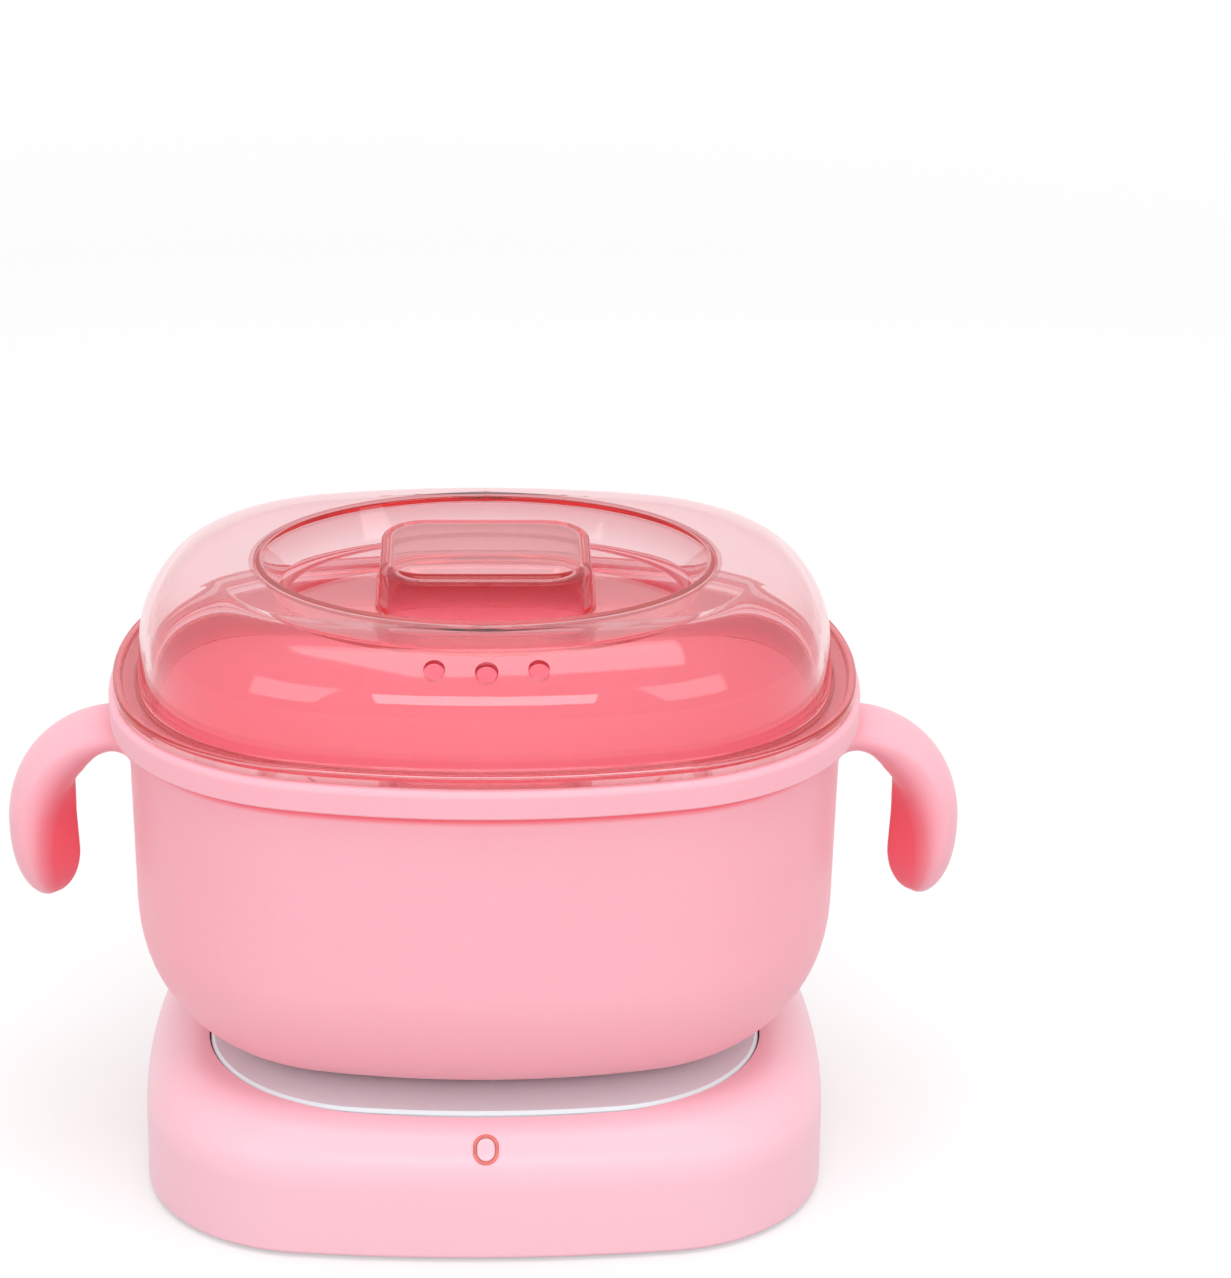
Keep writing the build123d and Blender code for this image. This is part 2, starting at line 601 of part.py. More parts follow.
with BuildPart() as board_screws:
    for x_side in (-1, 1):
        for y_side in (-1, 1):
            hole = (
                x_side * (board_w / 2 - board_hole_inset),
                board_y + y_side * (board_d / 2 - board_hole_inset),
                board_top,
            )
            seat = Plane(origin=hole, z_dir=(0, 0, -1))
            add(pan_screw(
                seat, small_screw_length, small_screw_r, small_screw_head_r, small_screw_head_height
            ))
board_screws.part.label = "board_screws"
export_step(board_screws.part, "parts/board_screws.step")

with BuildPart() as relay:
    with BuildSketch(Plane.XY.offset(board_top)):
        with Locations((-relay_x, relay_y)):
            Rectangle(relay_w, relay_d)
    extrude(amount=relay_height)
    fillet(relay.edges().group_by(Axis.Z)[-1], 0.5)
relay.part.label = "relay"
export_step(relay.part, "parts/relay.step")

with BuildPart() as transformer:
    with BuildSketch(Plane.XY.offset(board_top)):
        with Locations((relay_x, relay_y)):
            Rectangle(transformer_w, transformer_core)
    extrude(amount=transformer_height)
    with BuildSketch(Plane.XY.offset(board_top)):
        with Locations((relay_x, relay_y)):
            RectangleRounded(transformer_w * 0.6, transformer_core + 2 * transformer_coil, 2)
    extrude(amount=transformer_height * 0.8)
transformer.part.label = "transformer"
export_step(transformer.part, "parts/transformer.step")

with BuildPart() as terminal_block:
    with BuildSketch(Plane.XY.offset(board_top)):
        with Locations((0, block_y)):
            Rectangle(block_w, block_d)
    extrude(amount=block_height)
    chamfer(terminal_block.edges().group_by(Axis.Z)[-1], 0.8)
    with BuildSketch(Plane.XY.offset(board_top + block_height)):
        with Locations((0, block_y)):
            with GridLocations(block_w / 4, 0, 4, 1):
                Circle(1.6)
    extrude(amount=-2.5, mode=Mode.SUBTRACT)
terminal_block.part.label = "terminal_block"
export_step(terminal_block.part, "parts/terminal_block.step")

with BuildPart() as small_components:
    with BuildSketch(Plane.XY.offset(board_top)):
        with Locations((0, relay_y)):
            Circle(capacitor_r)
    extrude(amount=capacitor_height)
    with BuildSketch(Plane.XY.offset(board_top)):
        with Locations((-connector_x, connector_y), (connector_x, connector_y)):
            Rectangle(connector_w, connector_d)
    extrude(amount=connector_height)
    with BuildSketch(Plane.XY.offset(board_top)):
        with Locations((0, connector_y)):
            Rectangle(connector_w, connector_d)
    extrude(amount=chip_height)
small_components.part.label = "small_components"
export_step(small_components.part, "parts/small_components.step")

# ---------------------------------------------------------------- power button, bezel and switch
with BuildPart() as button_bezel:
    with BuildSketch(button_plane.offset(-bezel_depth)):
        SlotOverall(bezel_h, bezel_w, rotation=90)
        SlotOverall(
            bezel_h - 2 * bezel_stroke, bezel_w - 2 * bezel_stroke, rotation=90, mode=Mode.SUBTRACT
        )
    extrude(amount=bezel_depth + 1)
    add(housing_skin(bezel_proud), mode=Mode.INTERSECT)
button_bezel.part.label = "button_bezel"
export_step(button_bezel.part, "parts/button_bezel.step")

with BuildPart() as power_button:
    with BuildSketch(button_plane.offset(-flange_back)):
        SlotOverall(cap_h, cap_w, rotation=90)
    extrude(amount=flange_back)
    add(housing_skin(), mode=Mode.INTERSECT)
    fillet(power_button.edges().filter_by(lambda edge: edge.center().Y < button_plane.origin.Y + 1), 0.3)
    with BuildSketch(button_plane.offset(-flange_back)):
        SlotOverall(cap_h + 2 * button_flange, cap_w + 2 * button_flange, rotation=90)
    extrude(amount=button_flange_thickness)
    with BuildSketch(button_plane.offset(-flange_back)):
        Circle(button_stem_r)
    extrude(amount=-button_stem)
    with BuildSketch(button_plane.offset(-stem_end)):
        Circle(plunger_r)
    extrude(amount=-switch_gap - plunger_reach)
power_button.part.label = "power_button"
export_step(power_button.part, "parts/power_button.step")

with BuildPart() as tact_switch:
    with BuildSketch(button_plane.offset(-switch_board_front)):
        Rectangle(switch_w, switch_h)
    extrude(amount=switch_depth)
    with BuildSketch(button_plane.offset(-switch_front)):
        Circle(plunger_r + plunger_clearance)
    extrude(amount=-plunger_reach - button_travel - plunger_clearance, mode=Mode.SUBTRACT)
tact_switch.part.label = "tact_switch"
export_step(tact_switch.part, "parts/tact_switch.step")

with BuildPart() as switch_board:
    with BuildSketch(button_plane.offset(-switch_board_back)):
        with Locations((0, -switch_board_drop)):
            Rectangle(switch_board_w, switch_board_h)
        with Locations(*switch_posts):
            Circle(small_screw_r + thread_clearance, mode=Mode.SUBTRACT)
    extrude(amount=switch_board_thickness)
switch_board.part.label = "switch_board"
export_step(switch_board.part, "parts/switch_board.step")

with BuildPart() as switch_screws:
    for x, y in switch_posts:
        seat = Plane(
            origin=button_plane.offset(-switch_board_back).from_local_coords((x, y, 0)),
            z_dir=button_plane.z_dir,
        )
        add(pan_screw(
            seat, small_screw_length, small_screw_r, small_screw_head_r, small_screw_head_height
        ))
switch_screws.part.label = "switch_screws"
export_step(switch_screws.part, "parts/switch_screws.step")

# ---------------------------------------------------------------- mains_inlet and its pins
with BuildPart() as mains_inlet:
    with BuildSketch(Plane.XZ.offset(-inlet_back)):
        with Locations((0, inlet_height)):
            RectangleRounded(inlet_w, inlet_h, inlet_corner)
    extrude(amount=-inlet_depth)
    with BuildSketch(Plane.XZ.offset(-inlet_back_of_flange)):
        with Locations((0, inlet_height)):
            RectangleRounded(inlet_w + 2 * inlet_flange, inlet_h + 2 * inlet_flange, inlet_corner)
    extrude(amount=-inlet_flange_thickness)
    with BuildSketch(Plane.XZ.offset(-base_plan[1])):
        with Locations((0, inlet_height)):
            SlotOverall(socket_w, socket_h)
    extrude(amount=socket_depth, mode=Mode.SUBTRACT)
    with BuildSketch(Plane.XZ.offset(-inlet_back)):
        with Locations((-inlet_pin_x, inlet_height), (inlet_pin_x, inlet_height)):
            Circle(inlet_pin_r)
    extrude(amount=-inlet_depth, mode=Mode.SUBTRACT)
mains_inlet.part.label = "mains_inlet"
export_step(mains_inlet.part, "parts/mains_inlet.step")

pin_front = base_plan[1] - socket_depth + inlet_pin_length
pin_back = inlet_back - inlet_tail
with BuildPart() as inlet_pins:
    with BuildSketch(Plane.XZ.offset(-pin_back)):
        with Locations((-inlet_pin_x, inlet_height), (inlet_pin_x, inlet_height)):
            Circle(inlet_pin_r)
    extrude(amount=pin_back - pin_front)
    fillet(inlet_pins.edges().group_by(Axis.Y)[-1], inlet_pin_r / 2)
inlet_pins.part.label = "inlet_pins"
export_step(inlet_pins.part, "parts/inlet_pins.step")

# ---------------------------------------------------------------- leads
block_back, entry_height = block_y + block_d / 2, board_top + block_entry
with BuildPart() as mains_leads:
    for side in (-1, 1):
        add(lead(
            [
                (side * inlet_pin_x, pin_back, inlet_height),
                (side * inlet_pin_x, pin_back - lead_stub, inlet_height),
                (side * block_w / 8, block_back + lead_stub, entry_height),
                (side * block_w / 8, block_back, entry_height),
            ],
            lead_r,
            lead_bend,
        ))
mains_leads.part.label = "mains_leads"
export_step(mains_leads.part, "parts/mains_leads.step")

with BuildPart() as heater_leads:
    for side in (-1, 1):
        add(lead(
            [
                (side * block_w * 3 / 8, block_back, entry_height),
                (side * block_w * 3 / 8, block_back + lead_stub, entry_height),
                (side * tab_x, tab_y, pad_top - tab_length - lead_stub * 0.8),
                (side * tab_x, tab_y, pad_top - tab_length),
            ],
            lead_r,
            lead_bend,
        ))
heater_leads.part.label = "heater_leads"
export_step(heater_leads.part, "parts/heater_leads.step")

connector_top = board_top + connector_height
with BuildPart() as sensor_leads:
    for side in (-1, 1):
        add(lead(
            [
                (side * signal_lead_pitch / 2, -sensor_r + signal_lead_r, sensor_foot),
                (side * signal_lead_pitch / 2, -sensor_r + signal_lead_r, sensor_foot - signal_lead_stub),
                (side * signal_lead_pitch / 2 - connector_x, connector_y, connector_top + signal_lead_stub),
                (side * signal_lead_pitch / 2 - connector_x, connector_y, connector_top),
            ],
            signal_lead_r,
            signal_lead_bend,
        ))
sensor_leads.part.label = "sensor_leads"
export_step(sensor_leads.part, "parts/sensor_leads.step")

with BuildPart() as fuse_leads:
    for side in (-1, 1):
        lead_start = side * (fuse_length / 2 + fuse_lead)
        add(lead(
            [
                (lead_start, fuse_y, fuse_height),
                (lead_start + side * lead_stub, fuse_y, fuse_height),
                (lead_start + side * lead_stub, connector_y - block_entry, board_top + lead_stub),
                (lead_start + side * lead_stub, connector_y - block_entry, board_top),
            ],
            lead_r,
            lead_bend,
        ))
fuse_leads.part.label = "fuse_leads"
export_step(fuse_leads.part, "parts/fuse_leads.step")

with BuildPart() as switch_leads:
    for side in (-1, 1):
        across, low = side * signal_lead_pitch / 2, -switch_board_drop - switch_board_h / 4
        leave = button_plane.from_local_coords((across, low, -switch_board_back))
        turn = button_plane.from_local_coords((across, low, -switch_board_back - signal_lead_stub))
        add(lead(
            [
                tuple(leave),
                tuple(turn),
                (across + connector_x, connector_y - connector_d / 2 - 2 * signal_lead_stub, entry_height),
                (across + connector_x, connector_y - connector_d / 2, entry_height),
            ],
            signal_lead_r,
            signal_lead_bend,
        ))
switch_leads.part.label = "switch_leads"
export_step(switch_leads.part, "parts/switch_leads.step")

# ---------------------------------------------------------------- silicone_pot
hook_root = rim_top - hook_drop
hook_start = rim_plan[0] - mouth_inset - 2
arch_x = rim_plan[0] - rim_overhang + hook_run
arch_radius = hook_reach - arch_x
arch_z = hook_root - arch_radius
droop_x = hook_reach + hook_strap_t / 2 + droop_cover - droop_t / 2
# the drooping pad of a handle: a round form with a full, blunt profile, flattened across
with BuildPart() as droop_form:
    with BuildSketch(Plane.XZ):
        with BuildLine():
            droop_half, reach = (droop_tip - droop_top) / 2, droop_w / 2
            Bezier(
                (0, droop_half),
                (droop_fullness * reach, droop_half),
                (reach, droop_fullness * droop_half),
                (reach, 0),
            )
            Bezier(
                (reach, 0),
                (reach, -droop_fullness * droop_half),
                (droop_fullness * reach, -droop_half),
                (0, -droop_half),
            )
            Line((0, -droop_half), (0, droop_half))
        make_face()
    revolve(axis=Axis.Z)

# the pad's inner side comes to a blunt ridge towards the pot; its back follows the arch
with BuildPart() as pot_hook:
    add(Pos(droop_x, 0, rim_top - (droop_top + droop_tip) / 2) * scale(
        droop_form.part, by=(droop_t / droop_w, 1, 1), mode=Mode.PRIVATE
    ))
    with BuildSketch(Plane.XY.offset(rim_top - droop_tip - 1)) as pad_section:
        with BuildLine():
            Polyline(
                (droop_x + droop_t, -droop_w),
                (droop_x + droop_t, droop_w),
                (droop_x - droop_t / 2 + droop_knee, droop_w / 2),
                (droop_x - droop_t / 2 - droop_ridge_round / 3, 0),
                (droop_x - droop_t / 2 + droop_knee, -droop_w / 2),
                close=True,
            )
        make_face()
        corners = pad_section.vertices().sort_by(Axis.X)
        fillet(corners[0], droop_ridge_round)
        fillet(pad_section.vertices().group_by(Axis.X)[-2], droop_knee_round)
    extrude(amount=droop_tip, mode=Mode.INTERSECT)
    with BuildSketch(Plane.XZ.offset(-droop_w)):
        with Locations((arch_x, arch_z)):
            Circle(arch_radius + hook_strap_t / 2 + droop_cover)
        with Locations((arch_x, arch_z)):
            Rectangle(
                2 * (arch_radius + hook_strap_t / 2 + droop_cover),
                droop_tip,
                align=(Align.CENTER, Align.MAX),
            )
    extrude(amount=2 * droop_w, mode=Mode.INTERSECT)
    with BuildLine(Plane.XZ) as strap:
        Line((hook_start, hook_root), (arch_x, hook_root))
        arch = CenterArc((arch_x, arch_z), arch_radius, 90, -90)
        Line(arch @ 1, (hook_reach, arch_z - hook_leg))
    with BuildSketch(Plane(origin=(hook_start, 0, hook_root), x_dir=(0, 1, 0), z_dir=(1, 0, 0))):
        Ellipse(hook_strap_w / 2, hook_strap_t / 2)
    sweep(path=strap.line)
with BuildPart() as pot_rim:
    with BuildSketch(Plane.XY.offset(rim_top - rim_height)):
        add(plan(rim_plan))
    extrude(amount=rim_height)
    fillet(pot_rim.edges().group_by(Axis.Z)[-1], rim_round)
    fillet(pot_rim.edges().group_by(Axis.Z)[0], rim_lower_round)

with BuildPart() as silicone_pot:
    add(pot_form(rim_overhang, pot_base, rim_top - rim_height / 2, pot_round))
    add(pot_hook.part)
    add(mirror(pot_hook.part, about=Plane.YZ, mode=Mode.PRIVATE))
    roots = silicone_pot.edges().filter_by(
        lambda edge: abs(edge.center().Z - hook_root) < hook_strap_t
        and abs(edge.center().Y) < hook_strap_w / 2 + 1
        and abs(edge.center().X) < rim_plan[0]
    )
    fillet(roots, hook_root_round)
    add(pot_rim.part)
    add(pot_form(mouth_inset, pot_base + pot_floor, rim_top + 1, pot_round - pot_wall), mode=Mode.SUBTRACT)
    fillet(silicone_pot.faces().sort_by(Axis.Z)[-1].inner_wires()[0].edges(), mouth_round)
silicone_pot.part.label = "silicone_pot"
export_step(silicone_pot.part, "parts/silicone_pot.step")

# ---------------------------------------------------------------- lid
with BuildPart() as lid_void:
    add(dome_form(dome_inset + lid_wall, dome_top - lid_wall, dome_round - lid_wall))
    add(dish_form(lid_wall / cos(radians(dish_draft)), dish_floor - lid_wall), mode=Mode.SUBTRACT)
    with BuildSketch(Plane.XY.offset(lid_seat - lid_skirt_depth)):
        add(plan(rim_plan, mouth_inset + lid_skirt_gap + lid_wall))
    extrude(amount=lid_skirt_depth)
    add(grip_form(lid_wall, dish_floor - lid_wall, dish_floor + grip_height - lid_wall))

with BuildPart() as lid_flange:
    with BuildSketch(Plane.XY.offset(lid_seat)):
        add(plan(rim_plan, lid_inset))
    extrude(amount=lid_bead_height)
    with BuildSketch(Plane.XY.offset(lid_seat + lid_flange_thickness)):
        add(plan(rim_plan, lid_inset + lid_bead_width))
    extrude(amount=lid_bead_height, mode=Mode.SUBTRACT)
    fillet(lid_flange.edges().group_by(Axis.Z)[-1], lid_bead_round)

with BuildPart() as lid:
    add(dome_form(dome_inset, dome_top, dome_round))
    add(dish_form(0, dish_floor), mode=Mode.SUBTRACT)
    flats = lid.faces().filter_by(Axis.Z).sort_by(Axis.Z)
    fillet(flats[-1].inner_wires()[0].edges(), dish_lip_round)
    flats = lid.faces().filter_by(Axis.Z).sort_by(Axis.Z)
    fillet(flats[-2].edges(), dish_round)
    add(grip_form(0, dish_floor, dish_floor + grip_height))
    with BuildSketch(Plane.XY.offset(lid_seat - lid_skirt_depth)):
        add(plan(rim_plan, mouth_inset + lid_skirt_gap))
    extrude(amount=lid_skirt_depth)
    add(lid_flange.part)
    add(lid_void.part, mode=Mode.SUBTRACT)
    # three vent holes square to the front shoulder
    shoulder = Plane(
        origin=(
            0,
            dome_inset - rim_plan[1] + (dome_height - dome_round) * tan(radians(dome_draft))
            + dome_round / cos(radians(dome_draft)),
            dome_top - dome_round,
        ),
        x_dir=(1, 0, 0),
        z_dir=(0, -sin(radians(vent_hole_angle)), cos(radians(vent_hole_angle))),
    )
    with BuildSketch(shoulder.offset(dome_round + 1)):
        with Locations((-vent_hole_pitch, 0), (0, -vent_hole_drop), (vent_hole_pitch, 0)):
            Circle(vent_hole_r)
    extrude(amount=-lid_wall - 2.5, mode=Mode.SUBTRACT)
lid.part.label = "lid"
export_step(lid.part, "parts/lid.step")
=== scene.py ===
"""Visual model of a wax warmer: a low heating base, a silicone pot with hooked handles and a clear lid.

Every length in the classes is in millimetres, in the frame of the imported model: the origin lies on
the table under the middle of the base, +X runs along the long side, -Y is the front and +Z is up.
"""
import json
import logging
import math
from dataclasses import dataclass, field
from enum import Enum
from typing import Callable, Sequence

import bmesh
import bpy
import numpy as np
from mathutils import Matrix, Vector
from mathutils.bvhtree import BVHTree


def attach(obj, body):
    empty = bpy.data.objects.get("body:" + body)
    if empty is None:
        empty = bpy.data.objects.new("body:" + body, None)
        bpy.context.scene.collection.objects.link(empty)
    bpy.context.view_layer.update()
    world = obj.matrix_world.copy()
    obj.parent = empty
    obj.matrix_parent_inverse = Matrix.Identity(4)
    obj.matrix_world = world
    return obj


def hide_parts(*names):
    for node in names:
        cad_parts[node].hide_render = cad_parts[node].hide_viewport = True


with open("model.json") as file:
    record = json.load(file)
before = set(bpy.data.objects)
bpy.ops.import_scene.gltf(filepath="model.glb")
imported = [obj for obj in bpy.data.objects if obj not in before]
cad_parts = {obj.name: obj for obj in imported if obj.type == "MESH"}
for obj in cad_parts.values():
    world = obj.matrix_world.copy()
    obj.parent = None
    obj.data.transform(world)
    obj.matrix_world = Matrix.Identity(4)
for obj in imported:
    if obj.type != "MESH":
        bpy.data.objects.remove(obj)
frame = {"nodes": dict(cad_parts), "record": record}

LOG = logging.getLogger("wax_warmer")
MM = 0.001
TINY = 1e-6  # keeps a division away from zero
SLACK = 0.1  # millimetres within which two heights count as the same
FAR = 20.0  # millimetres past a corner, where only the direction of an edge counts
HARD_EDGE = math.radians(38)  # edges sharper than this stay sharp
SAME_WAY = 0.9  # cosine of the widest angle between faces that count as one surface
MASK_SPAN = (0.25, 0.75)  # the part of a mask that spans a finish's roughness
Colour = tuple[float, float, float]
Corner = tuple[float, float, float]


class Body(Enum):
    """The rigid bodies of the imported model."""

    BASE = "base"
    BUTTON = "button"
    POT = "pot"
    LID = "lid"


# -------------------- shader effects
class Effect(Enum):
    """The shader node groups that several finishes share."""

    MOTTLE = "cloudy_mottle"
    GRAIN = "fine_grain"
    BRUSH = "brushed_lines"


def rgba(colour: Colour) -> tuple[float, float, float, float]:
    """Adds a full alpha to a colour."""
    return (*colour, 1.0)


def from_srgb(red: int, green: int, blue: int) -> Colour:
    """Turns display values from 0 to 255 into linear light.

    Args:
        red: Display value of red.
        green: Display value of green.
        blue: Display value of blue.

    Returns:
        The linear colour.
    """
    def channel(value: float) -> float:
        """Linearises one channel."""
        value /= 255
        return value / 12.92 if value <= 0.04045 else ((value + 0.055) / 1.055) ** 2.4

    return channel(red), channel(green), channel(blue)


class Wiring:
    """Adds nodes to a node tree and links them by name."""

    def __init__(self, tree: bpy.types.NodeTree) -> None:
        """Remembers the tree that the nodes go into."""
        self.tree = tree

    def node(self, kind: str, **values: object) -> bpy.types.Node:
        """Adds a node and sets its properties.

        Args:
            kind: The node's bl_idname.
            values: Property names and values.

        Returns:
            The new node.
        """
        made = self.tree.nodes.new(kind)
        for name, value in values.items():
            setattr(made, name, value)
        return made

    def feed(self, source: object, target: bpy.types.NodeSocket) -> None:
        """Gives an input a link or a value.

        Args:
            source: An output socket, or a plain value.
            target: The input socket.
        """
        if isinstance(source, bpy.types.NodeSocket):
            self.tree.links.new(source, target)
        else:
            target.default_value = source

    def maths(self, operation: str, *inputs: object) -> bpy.types.NodeSocket:
        """Adds a Math node.

        Args:
            operation: The node's operation.
            inputs: Sockets or plain values.

        Returns:
            The result's socket.
        """
        made = self.node("ShaderNodeMath", operation=operation)
        for index, value in enumerate(inputs):
            self.feed(value, made.inputs[index])
        return made.outputs[0]

    def weigh(self, first: object, second: object, share: object) -> bpy.types.NodeSocket:
        """Adds two values by their shares.

        Args:
            first: The first value or its socket.
            second: The second value or its socket.
            share: The first one's share. The second one has the rest.

        Returns:
            The sum's socket.
        """
        rest = self.maths("SUBTRACT", 1.0, share)
        return self.maths("ADD", self.maths("MULTIPLY", first, share), self.maths("MULTIPLY", second, rest))

    def ramp(
        self, source: object, low: float, high: float, out_low: float, out_high: float
    ) -> bpy.types.NodeSocket:
        """Maps a range onto another one, clamped.

        Args:
            source: The value to map.
            low: Where the mapping starts.
            high: Where the mapping ends.
            out_low: The result at the start.
            out_high: The result at the end.

        Returns:
            The mapped value's socket.
        """
        made = self.node("ShaderNodeMapRange")
        for index, value in enumerate((source, low, high, out_low, out_high)):
            self.feed(value, made.inputs[index])
        return made.outputs[0]

    def blend_colours(self, factor: object, first: object, second: object) -> bpy.types.NodeSocket:
        """Mixes two colours.

        Args:
            factor: How much of the second colour.
            first: The first colour or its socket.
            second: The second colour or its socket.

        Returns:
            The mixed colour's socket.
        """
        made = self.node("ShaderNodeMix", data_type="RGBA", blend_type="MIX")
        self.feed(factor, made.inputs[0])
        self.feed(first, made.inputs[6])
        self.feed(second, made.inputs[7])
        return made.outputs[2]

    def noise(
        self, place: bpy.types.NodeSocket, scale: object, detail: float, rough: float = 0.5
    ) -> bpy.types.NodeSocket:
        """Adds a noise pattern.

        Args:
            place: Where the pattern is read.
            scale: Its scale, or the socket of it.
            detail: How many finer layers it has.
            rough: How strong those are.

        Returns:
            The pattern's socket, from 0 to 1.
        """
        made = self.node("ShaderNodeTexNoise")
        self.feed(place, made.inputs["Vector"])
        self.feed(scale, made.inputs["Scale"])
        made.inputs["Detail"].default_value = detail
        made.inputs["Roughness"].default_value = rough
        return made.outputs[0]


class EffectShelf:
    """Builds each shared node group once.

    Attributes:
        MOTTLE_FINE: How many times finer the mottle's small clouds are than its broad ones.
        MOTTLE_BROAD: The broad clouds' share.
        GRAIN_SLOW: Scale of the grain's slow unevenness against its texture.
        BRUSH_CLOUDS: Clouds in a metre under the brushed lines.
        BRUSH_LINES: The lines' share of the mask.
    """

    MOTTLE_FINE = 5.3
    MOTTLE_BROAD = 0.7
    GRAIN_SLOW = 0.06
    BRUSH_CLOUDS = 22.0
    BRUSH_LINES = 0.6

    def __init__(self) -> None:
        """Starts with no groups built."""
        self.groups: dict[Effect, bpy.types.NodeTree] = {}

    def get(self, effect: Effect) -> bpy.types.NodeTree:
        """Returns the effect's group, and builds it at its first use."""
        if effect not in self.groups:
            builders: dict[Effect, Callable[[Wiring], None]] = {
                Effect.MOTTLE: self.build_mottle,
                Effect.GRAIN: self.build_grain,
                Effect.BRUSH: self.build_brush,
            }
            tree = bpy.data.node_groups.new(effect.value, "ShaderNodeTree")
            self.groups[effect] = tree
            builders[effect](Wiring(tree))
        return self.groups[effect]

    @staticmethod
    def ports(
        wiring: Wiring, inputs: dict[str, float], outputs: Sequence[str]
    ) -> tuple[bpy.types.Node, bpy.types.Node]:
        """Makes a group's named sockets.

        Args:
            wiring: The group's wiring.
            inputs: Input names with their usual values.
            outputs: Output names.

        Returns:
            The group's input and output nodes.
        """
        for name, value in inputs.items():
            socket = wiring.tree.interface.new_socket(name, in_out="INPUT", socket_type="NodeSocketFloat")
            socket.default_value = value
        for name in outputs:
            wiring.tree.interface.new_socket(name, in_out="OUTPUT", socket_type="NodeSocketFloat")
        return wiring.node("NodeGroupInput"), wiring.node("NodeGroupOutput")

    def build_mottle(self, wiring: Wiring) -> None:
        """Soft clouds of two sizes, from 0 to 1.

        Args:
            wiring: The group's wiring.
        """
        source, result = self.ports(wiring, {"Scale": 30.0, "Contrast": 1.0}, ["Mask"])
        place = wiring.node("ShaderNodeTexCoord").outputs["Object"]
        broad = wiring.noise(place, source.outputs["Scale"], 2.0)
        fine = wiring.noise(place, wiring.maths("MULTIPLY", source.outputs["Scale"], self.MOTTLE_FINE), 3.0)
        clouds = wiring.weigh(broad, fine, self.MOTTLE_BROAD)
        centred = wiring.maths("MULTIPLY", wiring.maths("SUBTRACT", clouds, 0.5), source.outputs["Contrast"])
        mask = wiring.maths("ADD", centred, 0.5)
        mask.node.use_clamp = True
        wiring.feed(mask, result.inputs["Mask"])

    def build_grain(self, wiring: Wiring) -> None:
        """A moulded surface: a fine texture over a slow unevenness, as a height.

        Args:
            wiring: The group's wiring.
        """
        source, result = self.ports(wiring, {"Scale": 900.0, "Slow share": 0.4}, ["Height", "Mask"])
        place = wiring.node("ShaderNodeTexCoord").outputs["Object"]
        fine = wiring.noise(place, source.outputs["Scale"], 2.0, 0.6)
        slow = wiring.noise(place, wiring.maths("MULTIPLY", source.outputs["Scale"], self.GRAIN_SLOW), 1.0)
        wiring.feed(wiring.weigh(slow, fine, source.outputs["Slow share"]), result.inputs["Height"])
        wiring.feed(fine, result.inputs["Mask"])

    def build_brush(self, wiring: Wiring) -> None:
        """Long fine lines along X, as a height, and the same lines among clouds, as a mask.

        Args:
            wiring: The group's wiring.
        """
        source, result = self.ports(wiring, {"Scale": 700.0, "Stretch": 40.0}, ["Height", "Mask"])
        place = wiring.node("ShaderNodeTexCoord").outputs["Object"]
        parts = wiring.node("ShaderNodeSeparateXYZ")
        wiring.feed(place, parts.inputs[0])
        squeezed = wiring.node("ShaderNodeCombineXYZ")
        wiring.feed(wiring.maths("DIVIDE", parts.outputs[0], source.outputs["Stretch"]), squeezed.inputs[0])
        wiring.feed(parts.outputs[1], squeezed.inputs[1])
        wiring.feed(parts.outputs[2], squeezed.inputs[2])
        lines = wiring.noise(squeezed.outputs[0], source.outputs["Scale"], 3.0, 0.7)
        clouds = wiring.noise(place, self.BRUSH_CLOUDS, 2.0)
        wiring.feed(lines, result.inputs["Height"])
        wiring.feed(wiring.weigh(lines, clouds, self.BRUSH_LINES), result.inputs["Mask"])


EFFECTS = EffectShelf()


